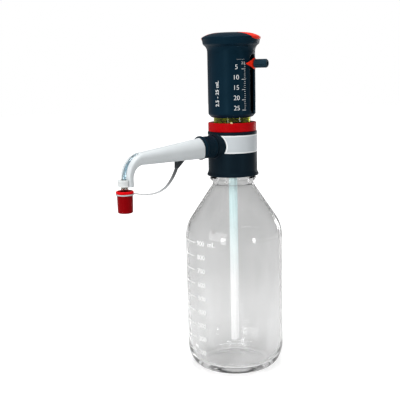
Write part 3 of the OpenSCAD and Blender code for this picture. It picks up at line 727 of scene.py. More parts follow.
BLUISH, REDDISH = (0.35, 0.75, 1.0), (1.0, 0.25, 0.22)
NAVY = Moulded("navy moulding", (0.0020, 0.0118, 0.0225), roughness=0.33, gloss=0.11, tint=BLUISH)
NAVY_BLACK = Moulded("blue black moulding", (0.0045, 0.0095, 0.0150), roughness=0.38, gloss=0.09, tint=BLUISH)
NAVY_RIBBED = Moulded("navy ribbed moulding", (0.0040, 0.0130, 0.0220), roughness=0.4, gloss=0.09, grain=0.3,
                      tint=BLUISH)
# Lighter, glossier copy of the navy ribbed moulding for the knob: a painted highlight
KNOB_PAINTED_HIGHLIGHT = Moulded("navy ribbed painted highlight", (0.0090, 0.0250, 0.0370), roughness=0.35, gloss=0.2, grain=0.3,
                tint=BLUISH)
CRIMSON = Moulded("crimson moulding", (0.42, 0.0010, 0.0035), roughness=0.36, gloss=0.16, tint=REDDISH)
ORANGE = Moulded("orange red moulding", (0.86, 0.024, 0.006), roughness=0.32, gloss=0.16, tint=REDDISH)
DEEP_RED = Moulded("deep red moulding", (0.23, 0.0004, 0.0025), roughness=0.36, gloss=0.12, tint=REDDISH)
# Lighter copy of the cap's red: a painted highlight on the cap's flange
FLANGE_PAINTED_HIGHLIGHT = Moulded("cap red painted highlight", (0.66, 0.002, 0.006), roughness=0.3, gloss=0.2, tint=REDDISH)
CREAM = Moulded("cream moulding", (0.80, 0.70, 0.36), roughness=0.45)
PALE = Moulded("pale grey moulding", (0.62, 0.655, 0.67), roughness=0.33, gloss=0.3, mottle=0.02)
WHITE = Moulded("white moulding", (0.70, 0.73, 0.73), roughness=0.42, mottle=0.02)
FILM = Moulded("grey film", (0.56, 0.60, 0.625), roughness=0.38, gloss=0.2, grain=0.25, relief=0.004,
               mottle=0.02)
FILM_EDGE = Moulded("white film", (0.84, 0.86, 0.865), roughness=0.4, gloss=0.2, grain=0.25, relief=0.004,
                    mottle=0.02)
RUBBER = Moulded("black rubber", (0.012, 0.012, 0.013), roughness=0.7, gloss=0.2, grain=0.3, relief=0.02)
NEAR_BLACK = Moulded("dark moulding", (0.004, 0.006, 0.007), roughness=0.5, gloss=0.1)
CERAMIC = Moulded("polished ceramic", (0.82, 0.83, 0.82), roughness=0.12, gloss=0.6, relief=0.001,
                  mottle=0.02)
GLASS = Clear("bottle glass", (0.875, 0.877, 0.877), index=1.13, waves=0.9, streaks=0.05, coat=1.0)
CYLINDER_GLASS = Clear("cylinder glass", (0.90, 0.905, 0.90))
OLIVE = Clear("olive sleeve", (0.30, 0.33, 0.004), roughness=0.05, index=1.3)
TUBING = Clear("discharge tubing", (0.80, 0.91, 0.96), roughness=0.12, index=1.2, coat=1.0)
NOZZLE = Clear("nozzle plastic", (0.62, 0.58, 0.52), roughness=0.25, index=1.33)
FILLING = MilkyTube("filling tube", (0.72, 0.92, 0.93), foot=(0.95, 0.95, 0.95))
INNER_TUBE = MilkyTube("inner filling tube", (0.72, 0.92, 0.93), foot=(0.92, 0.92, 0.92), body=0.15)
INK = Enamel("white ink", (0.82, 0.84, 0.84))
ENAMEL = Enamel("white enamel", (0.98, 0.98, 0.98))
# The strap's grey darkens towards the wedge with painted shade, where its underside is turned from the light
STRAP = StrapPaintedShade("tether strap", (0.78, 0.80, 0.81), painted_shade=(0.06, 0.065, 0.07), low=-102, high=-78)
TETHER = Moulded("tether grey", (0.52, 0.55, 0.56), roughness=0.42)
# The wedge is the strap's grey moulding, painted dark as shade
WEDGE_PAINTED_SHADE = Moulded("tether wedge", (0.035, 0.04, 0.045), roughness=0.45, gloss=0.1)
STEEL = TurnedSteel("turned steel", (0.62, 0.62, 0.6))


# ---------------------------------------------------------------- making


def make(
    name: str,
    forms: Sequence[Form],
    finish: Finish,
    body: Body | None,
    replaces: Sequence[str] = (),
    crease: float = 35.0,
) -> Piece:
    """Makes one finished piece.

    Its forms become one mesh in metres, whose doubled points are merged and whose
    faces are turned outwards.

    Args:
        name: Name of the piece.
        forms: Surfaces in millimetres.
        finish: What it is made of.
        body: The body that it rides on, or None for a piece that is left on no body.
        replaces: CAD nodes that it stands for.
        crease: Edges sharper than this angle in degrees stay sharp.

    Returns:
        The piece.
    """
    points, faces, start = [], [], 0
    for form in forms:
        some_points, some_faces = form.flat()
        points.append(some_points)
        faces += [[start + corner for corner in face] for face in some_faces]
        start += len(some_points)
    mesh = bpy.data.meshes.new(name)
    mesh.from_pydata((np.vstack(points) * MM).tolist(), [], faces)
    shape = bmesh.new()
    shape.from_mesh(mesh)
    bmesh.ops.remove_doubles(shape, verts=shape.verts, dist=MERGE)
    bmesh.ops.dissolve_degenerate(shape, edges=shape.edges, dist=NO_LENGTH)
    bmesh.ops.delete(shape, geom=[v for v in shape.verts if not v.link_faces], context="VERTS")
    bmesh.ops.recalc_face_normals(shape, faces=shape.faces)
    shape.to_mesh(mesh)
    shape.free()
    mesh.shade_smooth()
    mesh.set_sharp_from_angle(angle=math.radians(crease))
    mesh.materials.append(finish.material())
    piece = bpy.data.objects.new(name, mesh)
    bpy.context.scene.collection.objects.link(piece)
    if body is not None:
        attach(piece, body.value)
    if replaces:
        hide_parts(*replaces)
    return piece


def dress(nodes: dict[str, Piece], names: Sequence[str], finish: Finish) -> None:
    """Gives CAD nodes a finish.

    Args:
        nodes: The CAD nodes by name.
        names: Names of the nodes.
        finish: What they are made of.
    """
    for name in names:
        for slot in nodes[name].material_slots:
            slot.material = finish.material()
        LOG.info("%s: dressed in %s", name, finish.name)


# ---------------------------------------------------------------- sub-assemblies


class Part(Protocol):
    """A sub-assembly."""

    def build(self) -> list[Piece]:
        """Makes its pieces."""


@dataclass(frozen=True)
class FillScale:
    """Graduations of the bottle."""

    top: float = 138.5
    step: float = 14.4  # Fall from one mark to the next
    count: int = 9
    volume: int = 100  # Millilitres from one mark to the next
    start: float = 147.0  # Direction in which a mark starts, in degrees
    end: float = 171.5  # Direction in which it ends
    top_end: float = 175.0  # Direction in which the uppermost mark ends
    width: float = 0.85
    number: float = 5.2
    number_at: float = 183.5  # Direction of the numbers
    unit: float = 4.8
    unit_at: float = 198.5  # Direction of the unit
    thickness: float = 0.12
    weight: float = 0.02  # How far the strokes of the numbers are widened


@dataclass
class Bottle:
    """Screw-neck bottle with graduations."""

    height: float = 225.0
    radius: float = 50.5
    wall: float = 2.8
    foot: float = 35.8  # Outer radius of the ring that it stands on
    foot_width: float = 5.0  # Width of that ring with its rounding
    punt: float = 2.4  # Height of the hollow under the floor
    heel: float = 24.0  # Height over which the heel rounds
    turn: float = 36.0  # Radius from the side to the shoulder
    slope: float = 33.8  # Slope of the shoulder from the vertical, in degrees
    neck: float = 21.3  # Radius at the foot of the neck
    core: float = 20.6  # Radius of the threaded stretch without its thread
    bore: float = 15.5
    neck_z: float = 193.9  # Height of the neck's foot
    ring: Pair = (197.1, 202.5)  # Lowest and highest level of the pouring ring
    ring_radius: float = 24.0  # Radius of that ring
    pitch: float = 4.0  # Rise of the thread in a turn
    thread_depth: float = 1.85
    seam: float = 0.3
    seam_width: float = 1.3  # Half of the seam's width
    scale: FillScale = FillScale()

    def turn_z(self) -> float:
        """Works out the level where the side turns into the shoulder.

        Returns:
            The neck's foot, less the height of the cone and of the arc under it.
        """
        slope = math.radians(self.slope)
        run = self.turn * (1 - math.cos(slope))
        cone = (self.radius - self.neck - run) / math.tan(slope)
        return self.neck_z - cone - self.turn * math.sin(slope)

    def side(self, inset: float, foot_r: float, foot_z: float) -> Array:
        """Draws the outline from the floor up to the neck.

        An elliptical heel, the straight side, an arc into the shoulder and a straight
        cone follow each other, all moved inwards by the inset.

        Args:
            inset: How far inside the glass's outer face it runs.
            foot_r: Radius at which it starts.
            foot_z: Level at which it starts.

        Returns:
            Points of radius and height.
        """
        side_r, turn_z, turn_r = self.radius - inset, self.turn_z(), self.turn - inset
        heel = arc((foot_r, foot_z + self.heel - inset), side_r - foot_r, self.heel - inset, -90, 0, 20)
        seam_z = np.linspace(turn_z - 3 * self.seam_width - 0.1, turn_z, 10)[:-1]
        below = np.stack([np.full_like(seam_z, side_r), seam_z], -1)
        shoulder = arc((side_r - turn_r, turn_z), turn_r, turn_r, 0, self.slope, 44)
        return np.vstack([heel, below, shoulder, [[self.neck - inset, self.neck_z]]])

    def thread(self, angle: Array, radius: Array, height: Array) -> Array:
        """Raises the neck's thread and the mould's seam.

        The ridge is highest where the height less the thread's rise is half a pitch off
        a whole number of pitches, and it fades out over 1.5 mm at both ends. The seam
        rises where the shoulder starts, as exp(-(z / seam_width)^2).

        Args:
            angle: Direction of each point in radians.
            radius: Its distance from the axis.
            height: Its level.

        Returns:
            The changed distances.
        """
        low, high, fade = self.ring[1] + 5.0, self.height - 3.5, 1.5
        phase = (height - angle / (2 * math.pi) * self.pitch) / self.pitch
        near = 1 - np.abs((phase % 1) - 0.5) * 2
        ends = ramp(height, low - fade, low) * (1 - ramp(height, high, high + fade))
        ridge = self.thread_depth * ramp(near, 0.25, 0.75) * ends
        threaded = (np.abs(radius - self.core) < 0.01) & (height > self.ring[1] + 1)
        hump = np.exp(-(((height - self.turn_z()) / self.seam_width) ** 2))
        return radius + np.where(threaded, ridge, 0) + self.seam * hump * (radius > self.radius - 1)

    def shell(self) -> Patch:
        """Turns the whole wall: out and up, over the rim, in and down.

        Returns:
            The closed surface.
        """
        low, high = self.ring
        ring = self.ring_radius
        foot_in = self.foot - self.foot_width
        foot_mid = foot_in + self.foot_width / 2
        foot = eased([[0, self.punt], [self.foot / 2, self.punt * 0.8], [foot_in, 0], [foot_mid, 0]], 2)
        collar = eased(
            [
                [self.neck + 1, self.neck_z - 1.5], [self.neck, self.neck_z], [self.neck + 0.2, low],
                [ring, low + 1.8], [ring, low + 3.9], [self.core, high], [self.core, high + 2],
            ],
            1.4, 6,
        )
        threaded = np.linspace(high + 2, self.height - 1.2, 60)
        neck = np.stack([np.full_like(threaded, self.core), threaded], -1)
        rim = eased(
            [[self.core, self.height - 1.1], [self.core, self.height], [self.bore, self.height],
             [self.bore, self.height - 2]], 1.0, 6,
        )
        inner = self.side(self.wall, foot_in, self.punt + 3.4)[::-1]
        throat = eased([[self.bore, self.height - 2.1], [self.bore, self.neck_z], inner[0], inner[1]], 6, 8)
        floor = [[0, self.punt + 5]]
        outer = self.side(0, self.foot, 0)[:-1]
        outline = np.vstack([foot, outer, collar, neck, rim, throat[:-1], inner[1:], floor])
        return Patch(turned(outline, 192, self.thread))

    def radius_at(self, level: float) -> float:
        """Outer radius of the bottle at a level."""
        side = self.side(0, self.foot, 0)
        return float(np.interp(level, side[:, 1], side[:, 0]))

    def graduations(self) -> list[Form]:
        """Prints the marks and their numbers, and the unit beside the uppermost one.

        Returns:
            The print.
        """
        scale = self.scale
        ink = RoundPrint(self.radius, scale.thickness, scale.weight)
        marks: list[Form] = [ink.number("mL", scale.unit, scale.unit_at, scale.top)]
        for step in range(scale.count):
            level = scale.top - scale.step * step
            ink.radius = self.radius_at(level)
            end = scale.end if step else scale.top_end
            marks.append(ink.strip(scale.start, end, level, scale.width, 16))
            volume = str(scale.volume * (scale.count - step))
            marks.append(ink.number(volume, scale.number, scale.number_at, level))
        return marks

    def build(self) -> list[Piece]:
        """Makes the glass and its print."""
        return [
            make("bottle_shell", [self.shell()], GLASS, Body.BOTTLE, ["bottle"]),
            make("bottle_graduations", self.graduations(), ENAMEL, Body.BOTTLE),
        ]


@dataclass
class FillingTube:
    """Telescopic filling tube under the inlet valve."""

    outer: Pair = (4.45, 3.53)  # Lower tube's radii, outside and bore
    inner: Pair = (3.45, 2.3)  # Upper tube's radii, outside and bore
    outer_z: Pair = (24.7, 200.7)  # Lower tube's ends
    inner_z: Pair = (35.9, 211.8)  # Upper tube's ends
    slant: float = 3.0  # How far the lower tube's cut foot rises from side to side

    @staticmethod
    def pipe(radii: Pair, ends: Pair, slant: float = 0.0) -> Patch:
        """Turns a pipe with eased rims, whose lower end is cut at a slant.

        A point at the foot rises by slant times half of (1 + x / radius), and less the
        higher it lies.

        Args:
            radii: Radius of the outside and of the bore.
            ends: Lower and upper end.
            slant: Rise of the foot from side to side.

        Returns:
            The closed surface.
        """
        (outside, bore), (low, high) = radii, ends
        levels = np.linspace(low, high, 12)
        wall = [[outside, z] for z in levels] + [[bore, z] for z in levels[::-1]]
        grid = turned(eased(wall, 0.25, 3, closed=True), 64)
        near = 1 - ramp(grid[..., 2], low, low + 12)
        grid[..., 2] += slant * near * (1 + grid[..., 0] / outside) / 2
        return Patch(grid, loop=True)

    def build(self) -> list[Piece]:
        """Makes both tubes."""
        lower, upper = self.pipe(self.outer, self.outer_z, self.slant), self.pipe(self.inner, self.inner_z)
        return [
            make("filling_tube_outer", [lower], FILLING, Body.LOWER_TUBE, ["filling_tube_lower"]),
            make("filling_tube_inner", [upper], INNER_TUBE, Body.DISPENSER, ["filling_tube_upper"]),
        ]


@dataclass
class ValveBlock:
    """Block with its screw skirt, outlet boss, printed band and air inlet."""

    radius: float = 25.3
    lip: float = 26.7  # Radius of the skirt's flared lip
    foot: float = 203.4
    seat: float = 226.6  # Level of the seat on the neck's seal
    top: float = 248.6
    outlet: float = 234.8  # Level of the outlet
    band: Pair = (227.58, 245.68)  # Lowest and highest level of the band
    band_depth: float = 0.85  # How far the groove for the band is cut in
    boss: float = 12.1  # Radius of the outlet boss
    boss_end: float = 29.6  # Distance of its end from the axis
    fillet: float = 1.7  # Radius of the fillet round its root
    stub: float = 9.4  # Radius of the stub in front of it
    stub_end: float = 40.6  # Distance of the stub's end from the axis
    port: float = 5.6  # Radius of the bore in the stub
    bore: float = 22.8
    pitch: float = 4.0  # Rise of the skirt's thread in a turn
    thread_depth: float = 0.9  # Depth of that thread
    hub: float = 9.0  # Radius of the hub that holds the inlet
    hub_depth: float = 12.6  # How far the hub reaches down from the seat
    well: float = 15.6  # Radius of the recess in the top
    well_depth: float = 1.6  # Depth of that recess

    def thread(self, angle: Array, radius: Array, height: Array) -> Array:
        """Cuts the skirt's thread into its bore, a groove every pitch.

        Args:
            angle: Direction of each point in radians.
            radius: Its distance from the axis.
            height: Its level.

        Returns:
            The changed distances.
        """
        phase = (height - angle / (2 * math.pi) * self.pitch) / self.pitch
        near = np.abs((phase % 1) - 0.5) * 2
        inside = (np.abs(radius - self.bore) < 0.01) & (height < self.seat - 2) & (height > self.foot + 3)
        return radius + np.where(inside, self.thread_depth * ramp(near, 0.2, 0.7), 0)

    def shell(self) -> Patch:
        """Turns the block and the skirt: hub, seat, bore, lip, side with its groove, top.

        Returns:
            The closed surface.
        """
        low, high = self.band
        r, lip, foot, well = self.radius, self.lip, self.foot, self.well
        groove = r - self.band_depth
        hub_foot, well_floor = self.seat - self.hub_depth, self.top - self.well_depth
        hub = eased([[0, hub_foot], [self.hub, hub_foot], [self.hub, self.seat], [self.bore, self.seat]], 0.4)
        bore_z = np.linspace(self.seat - 0.5, foot + 0.8, 46)
        bore = np.stack([np.full_like(bore_z, self.bore), bore_z], -1)
        outside = eased(
            [
                [self.bore, foot + 0.7], [self.bore, foot], [lip - 0.1, foot], [lip, foot + 1.2],
                [lip - 0.35, foot + 2.2], [r + 0.3, foot + 3.4], [r, foot + 5.6], [r, low - 0.02],
                [groove, low], [groove, high], [r + 0.1, high], [r + 0.1, self.top], [well, self.top],
                [well, well_floor], [0, well_floor],
            ],
            0.5, 5,
        )
        return Patch(turned(np.vstack([hub, bore, outside]), 192, self.thread))

    def saddle(self, outline: Array, root: float, steps: int = 120) -> Array:
        """Carries an outline round the outlet's axis, so that it follows the round block.

        The outline's point (rho, u, share) goes round at the distance rho. Its distance
        along the axis is u, plus share times how far the block's surface, the square
        root of root^2 - y^2, lies from root.

        Args:
            outline: Points of distance, place along the axis and share.
            root: Radius of the block.
            steps: Number of angles in a full turn.

        Returns:
            A grid with a row for each point of the outline.
        """
        angle = np.linspace(0, 2 * math.pi, steps, endpoint=False)[None, :]
        rho, u, share = (outline[:, i : i + 1] for i in range(3))
        y, z = rho * np.cos(angle), rho * np.sin(angle)
        drop = np.sqrt(np.maximum(root**2 - y**2, 0)) - root
        return np.stack([-(u + share * drop), y, self.outlet + z], -1)

    def outlet_boss(self) -> Patch:
        """Draws the boss with a fillet round its root, a rounded edge and a bored stub.

        Returns:
            The closed surface.
        """
        t = np.radians(np.linspace(0, 90, 9))
        around = self.boss + self.fillet * (1 - np.sin(t))
        out = self.radius - 0.1 + self.fillet * (1 - np.cos(t))
        skirt = np.stack([around, out, np.ones_like(t)], -1)
        boss, boss_end, stub, stub_end, port = self.boss, self.boss_end, self.stub, self.stub_end, self.port
        end = eased(
            [[boss, boss_end - 1.2, 0], [boss, boss_end, 0], [stub, boss_end, 0], [stub, stub_end, 0],
             [port, stub_end, 0], [port, 18, 0], [2, 18, 0], [2, 14, 0]], 0.7, 5,
        )
        return Patch(self.saddle(np.vstack([skirt, end]), self.radius), loop=True)

    def film(self, margin: float, proud: float) -> Patch:
        """Lays the band round the block, as a thin shell.

        At a level z the band runs round the back from the angle of the boss's edge,
        arcsin of y / radius with y^2 = edge^2 - (z - outlet)^2, to the same angle on the
        other side.

        Args:
            margin: How far inside the groove's edges it ends.
            proud: How far it stands proud of the block.

        Returns:
            The closed surface.
        """
        low, high = self.band[0] + 0.05 + margin, self.band[1] - 0.05 - margin
        edge = self.boss + 1.1 + margin
        z = np.linspace(low, high, 25)[:, None]
        y = np.sqrt(np.maximum(edge**2 - (z - self.outlet) ** 2, 0.01))
        first = np.arcsin(np.minimum(y / self.radius, 1))
        share = np.linspace(0, 1, 150)[None, :]
        angle = math.pi + first + share * (2 * math.pi - 2 * first)
        layers = []
        for radius in (self.radius + proud, self.radius - 0.7):
            layers.append(np.stack([radius * np.cos(angle), radius * np.sin(angle), z + 0 * angle], -1))
        return wafer(*layers)

    def build(self) -> list[Piece]:
        """Makes the block, its boss and the band."""
        body = Body.DISPENSER
        return [
            make("valve_block_shell", [self.shell()], NAVY_BLACK, body, ["valve_block"]),
            make("outlet_boss", [self.outlet_boss()], NAVY_BLACK, body),
            make("band_edge", [self.film(0.0, 0.0)], FILM_EDGE, body, ["printed_band"]),
            make("band_face", [self.film(1.3, 0.06)], FILM, body),
        ]


@dataclass
class LockRing:
    """Turnable locking ring with grip ribs and an index mark."""

    radius: float = 24.75
    low: float = 248.9
    high: float = 257.9
    mark_angle: float = -136.0  # Direction of the index mark in degrees
    mark: float = 1.2
    mark_reach: float = 23.0  # Distance of the mark from the axis
    bore: float = 19.3  # Radius of the hole in its top
    counterbore: float = 21.7  # Radius of the hollow under it
    step: float = 251.15  # Level of the hollow's roof
    grips: Pair = (-18.0, 162.0)  # Directions of the two groups of grooves
    groove: float = 0.32  # Depth of the grooves
    groove_count: int = 60  # Number of grooves that a full turn would hold

    def ribs(self, angle: Array, radius: Array, height: Array) -> Array:
        """Cuts two groups of upright grooves into the ring's side.

        Args:
            angle: Direction of each point in radians.
            radius: Its distance from the axis.
            height: Its level.

        Returns:
            The changed distances.
        """
        side = ramp(radius, self.radius - 0.3, self.radius - 0.05)
        reach = np.zeros_like(angle)
        for middle in self.grips:
            away = np.degrees(np.abs((angle - math.radians(middle) + math.pi) % (2 * math.pi) - math.pi))
            reach += 1 - ramp(away, 12, 13)
        wave = ramp(np.cos(angle * self.groove_count), 0.3, 0.9)
        foot, head = self.low + 0.6, self.high - 1.2
        ends = ramp(height, foot, foot + 0.4) * (1 - ramp(height, head, head + 0.4))
        return radius - self.groove * side * reach * wave * ends

    def body(self) -> Patch:
        """Turns the ring with its stepped hole.

        Returns:
            The closed surface.
        """
        r, low, high, bore, chamfer = self.radius, self.low, self.high, self.bore, 1.3
        side = [[r, z] for z in np.linspace(low + 0.5, high - 0.6, 12)]
        outline = eased(
            [[self.counterbore, low], [r - 0.4, low], *side, [r - 0.6, high], [bore + chamfer, high],
             [bore, high - chamfer + 0.1], [bore, self.step], [self.counterbore, self.step]],
            0.35, 4, closed=True,
        )
        return Patch(turned(outline, 480, self.ribs), loop=True)

    def index(self) -> Patch:
        """Turns the mark, a half ball on the ring's top.

        Returns:
            The surface, whose foot lies in the ring.
        """
        dome = np.vstack([[[0, 0]], arc((0, 0), self.mark, self.mark, 0, 90, 10)])
        dome[-1, 0] = 0
        turn = math.radians(self.mark_angle)
        x, y = self.mark_reach * math.cos(turn), self.mark_reach * math.sin(turn)
        return Patch(moved(turned(dome, 40), x, y, self.high))

    def build(self) -> list[Piece]:
        """Makes the ring and its mark."""
        return [
            make("lock_ring_body", [self.body()], CRIMSON, Body.RING, ["lock_ring"]),
            make("index_mark", [self.index()], CREAM, Body.RING, ["index_pip"]),
        ]


@dataclass
class DosingUnit:
    """Glass cylinder, olive sleeve, stop collar and piston."""

    glass: Pair = (15.53, 12.53)  # The cylinder's radii, outside and bore
    glass_z: Pair = (247.05, 318.99)  # The cylinder's ends
    sleeve: Pair = (18.95, 17.45)  # The sleeve's radii, outside and bore
    sleeve_foot: float = 248.65  # Level on which the sleeve stands
    flange: float = 21.4  # Radius of the flange at its foot
    flange_rise: float = 2.2
    stop: float = 320.89  # Lower face of the stop collar
    stop_radius: float = 20.2
    piston: float = 12.13
    piston_z: float = 252.37  # Lower face of the piston
    rod: float = 8.0
    plug: float = 329.36  # Lower face of the cap's plug

    @staticmethod
    def ring_of(corners: Sequence[Sequence[float]], radius: float = 0.3) -> Patch:
        """Turned ring from the corners of its section."""
        return Patch(turned(eased(corners, radius, 4, closed=True), 160), loop=True)

    def cylinder(self) -> Patch:
        """Turns the glass cylinder.

        Returns:
            The closed surface.
        """
        (outside, bore), (low, high) = self.glass, self.glass_z
        return self.ring_of([[bore, low], [outside, low], [outside, high], [bore, high]])

    def guard(self) -> Patch:
        """Turns the sleeve on its flange.

        Returns:
            The closed surface.
        """
        (outside, bore), foot, high = self.sleeve, self.sleeve_foot, self.stop - 0.05
        ledge = foot + self.flange_rise
        wall = [(outside, z) for z in np.linspace(foot + 4, self.stop - 2, 10)]
        corners = [[bore, foot], [self.flange, foot], [self.flange, ledge], [outside, ledge], *wall]
        return self.ring_of([*corners, [outside, high], [bore, high]])

    def collar(self) -> Patch:
        """Turns the stop collar that sits over the sleeve's upper edge.

        Returns:
            The closed surface.
        """
        stop, r = self.stop, self.stop_radius
        skirt, bore, high = self.sleeve[1] - 0.05, self.sleeve[1] - 1.05, stop + 3.1
        return self.ring_of(
            [[bore, stop - 1.4], [skirt, stop - 1.4], [skirt, stop], [r, stop], [r, stop + 2.6],
             [r - 0.5, high], [bore, high]]
        )

    def plunger(self) -> Patch:
        """Turns the piston: head with its seal groove, rod, and shank in the cap's plug.

        Returns:
            The closed surface.
        """
        z, head, rod, plug = self.piston_z, self.piston, self.rod, self.plug
        outline = eased(
            [[0, z], [head - 1, z], [head, z + 1], [head, z + 2], [head - 2, z + 2], [head - 2, z + 9],
             [head, z + 9], [head, z + 12], [rod, z + 16], [rod, plug - 5], [rod + 2.4, plug - 3],
             [rod + 2.4, plug - 0.05], [rod - 2, plug - 0.05], [rod - 2, plug + 8], [0, plug + 8]], 0.3, 3,
        )
        return Patch(turned(outline, 128))

    def build(self) -> list[Piece]:
        """Makes the sleeve, the cylinder, the collar and the piston."""
        body = Body.DISPENSER
        return [
            make("sleeve_shell", [self.guard()], OLIVE, body, ["guard_sleeve"]),
            make("cylinder_tube", [self.cylinder()], CYLINDER_GLASS, body, ["dosing_cylinder"]),
            make("sleeve_collar", [self.collar()], NEAR_BLACK, body, ["stop_collar"]),
            make("piston_body", [self.plunger()], WHITE, Body.PLUNGER, ["piston"]),
        ]


@dataclass(frozen=True)
class DoseScale:
    """Print of the dose scale, with its directions in degrees."""

    least_dose: float = 2.5  # Dose at the pointer's place at rest, in millilitres
    doses: tuple[int, int] = (3, 25)  # First and last whole dose
    per_ml: float = 2.0275  # Travel for a millilitre
    right: float = -99.5  # Direction in which the marks end, beside the slot
    short: float = -103.2  # Direction in which a short mark starts
    long: float = -109.5  # Direction in which every fifth mark starts
    widths: Pair = (0.34, 0.42)  # Width of a short and of a long mark
    number: float = 4.5
    number_at: float = -122.5  # Direction of the numbers
    number_rise: float = 2.2  # How far a number stands above its mark
    least: float = 2.4  # Height of the least dose's number
    least_at: float = -105.5  # Direction of that number
    least_rise: float = 0.9  # How far it stands above its mark
    rule: Pair = (-122.0, -101.0)  # Start and end of the rule above the scale
    rule_z: float = 321.0  # Level of the rule
    rule_width: float = 0.13
    words: float = 4.0  # Height of the upright lettering
    words_at: float = -171.0  # Its direction
    words_z: float = 287.5  # Its level
    thickness: float = 0.07


@dataclass
class Housing:
    """Sliding housing with its slot, cap, grip pads and dose scale."""

    radius: float = 24.3
    bore: float = 22.45
    low: float = 263.27
    high: float = 334.39  # Upper edge, where the cap starts
    chamfer: float = 3.2
    guide: float = 20.55  # Radius of the guide lip inside the foot
    flare: float = 5.8  # Height of the flare under the cap
    flare_reach: float = 6.902  # Height that the flare's ellipse would have in full
    cap: float = 29.9  # Largest radius of the cap
    cap_step: float = 1.3  # How far the flare ends inside that radius
    rise: float = 13.7
    dome: float = 5.0
    slot: float = -71.0  # Direction of the slot in degrees
    slot_width: float = 11.2
    slot_z: Pair = (266.3, 325.9)  # Lower and upper end of the slot
    pointer: float = 316.59  # Level of the pointer at rest
    scale: DoseScale = DoseScale()
    pad_half: float = 12.5  # Half of a grip pad's width
    pad_centre: float = 19.0  # Distance from the axis of the centre of its round end
    pad_depth: float = 0.9  # Thickness of a pad
    pad_turns: Pair = (-65.0, 115.0)  # Directions of the two pads in degrees

    def outline(self) -> Array:
        """Draws the outer profile: chamfer, straight side and a flare under the cap.

        Returns:
            Points of radius and height.
        """
        turn = math.degrees(math.asin(self.flare / self.flare_reach))
        flare_r = self.cap - self.cap_step - self.radius
        centre = (self.radius + flare_r, self.high - self.flare)
        flare = arc(centre, flare_r, self.flare_reach, 180, 180 - turn, 12)
        lip, side_z = self.guide + 0.9, self.low + self.chamfer
        foot = [[lip - 0.45, self.low], [lip, self.low], [self.radius, side_z], [self.radius, side_z + 2.8]]
        return np.vstack([eased(foot, 0.35, 4), flare])

    def lining(self) -> Array:
        """Inner profile: guide lip at the foot, then the straight bore."""
        return np.array([[self.guide, self.low], [self.guide, self.low + self.chamfer - 0.8],
                         [self.bore, self.low + self.chamfer], [self.bore, self.high]])

    @staticmethod
    def around(turn: Array, level: Array, profile: Array, inset: float = 0.0) -> Array:
        """Points on a turned profile, whose radius is looked up at each level.

        Args:
            turn: Direction of each point in radians.
            level: Its level.
            profile: Points of radius and height.
            inset: How far inside the profile they lie.

        Returns:
            The points.
        """
        radius = np.interp(level, profile[:, 1], profile[:, 0]) - inset
        return np.stack([radius * np.cos(turn), radius * np.sin(turn), level], -1)

    def lay(self, points: Array, profile: Array, inset: float = 0.0) -> Array:
        """Lays flat points round the slot on a profile.

        Args:
            points: Distance across from the slot's middle, and level.
            profile: Points of radius and height.
            inset: How far inside the profile they lie.

        Returns:
            The points on the housing.
        """
        turn = math.radians(self.slot) + points[:, 0] / self.radius
        return self.around(turn, points[:, 1], profile, inset)

    def slot_rings(self, edge: Array) -> Patch:
        """Fills the space between an edge and the slot.

        Each point q of the edge is paired with the slot's nearest point
        p = c + half width times (q - c) / |q - c|, where c is the nearest point on the
        slot's middle line. Rings run from the edge over the slot's rounded rim, in
        through the wall and back to the edge on the inside.

        Args:
            edge: Closed line round the slot, as distance across and level.

        Returns:
            The rings.
        """
        outer, inner = self.outline(), self.lining()
        half, (low, high) = self.slot_width / 2, self.slot_z
        core = np.stack([np.zeros(len(edge)), np.clip(edge[:, 1], low + half, high - half)], -1)
        away = np.linalg.norm(edge - core, axis=1)[:, None]
        out = (edge - core) / away
        rim, lip = core + out * half, core + out * np.minimum(half + 0.35, away)
        rings = [
            self.lay(edge, outer), self.lay(lip, outer), self.lay(core + out * (half + 0.1), outer, 0.1),
            self.lay(rim, outer, 0.35), self.lay(rim, inner), self.lay(edge, inner),
        ]
        return Patch(np.stack(rings))

    def shell(self) -> list[Form]:
        """Makes the housing's wall with its slot.

        The wall is a closed turned surface with a rectangle of cells left out, and rings
        fill the rectangle up to the slot.

        Returns:
            The wall and the rings.
        """
        outer, inner = self.outline(), self.lining()
        cols, reach = 192, 10
        hole_low, hole_high = self.low + self.chamfer, self.slot_z[1] + 2.6
        foot = np.linspace(self.low, hole_low, 7)
        middle = np.linspace(hole_low, hole_high, 61)
        head = np.linspace(hole_high, self.high, 16)
        levels = np.concatenate([foot[:-1], middle, head[1:]])
        turn = math.radians(self.slot) + np.linspace(0, 2 * math.pi, cols, endpoint=False)
        grid_turn, grid_level = np.meshgrid(turn, levels)
        wall = np.concatenate(
            [self.around(grid_turn, grid_level, outer), self.around(grid_turn, grid_level, inner)[::-1]], 0
        )
        rows = len(levels)
        first, last = len(foot) - 1, len(foot) + len(middle) - 2
        holes = np.zeros((2 * rows, cols), bool)
        open_cols = np.r_[0:reach, cols - reach : cols]
        holes[np.ix_(np.arange(first, last), open_cols)] = True
        holes[np.ix_(2 * rows - 1 - np.arange(first + 1, last + 1), open_cols)] = True
        across = np.arange(-reach, reach + 1) * 2 * math.pi / cols * self.radius
        edge = np.vstack(
            [
                np.stack([across[:-1], np.full(2 * reach, hole_low)], -1),
                np.stack([np.full(len(middle) - 1, across[-1]), middle[:-1]], -1),
                np.stack([across[:0:-1], np.full(2 * reach, hole_high)], -1),
                np.stack([np.full(len(middle) - 1, across[0]), middle[:0:-1]], -1),
            ]
        )
        return [Patch(wall, loop=True, holes=holes), self.slot_rings(edge)]

    def dome_z(self, radius: Array) -> Array:
        """Level of the domed top: cap top - dome times (r / cap)^4."""
        return self.high + self.rise - self.dome * (radius / self.cap) ** 4

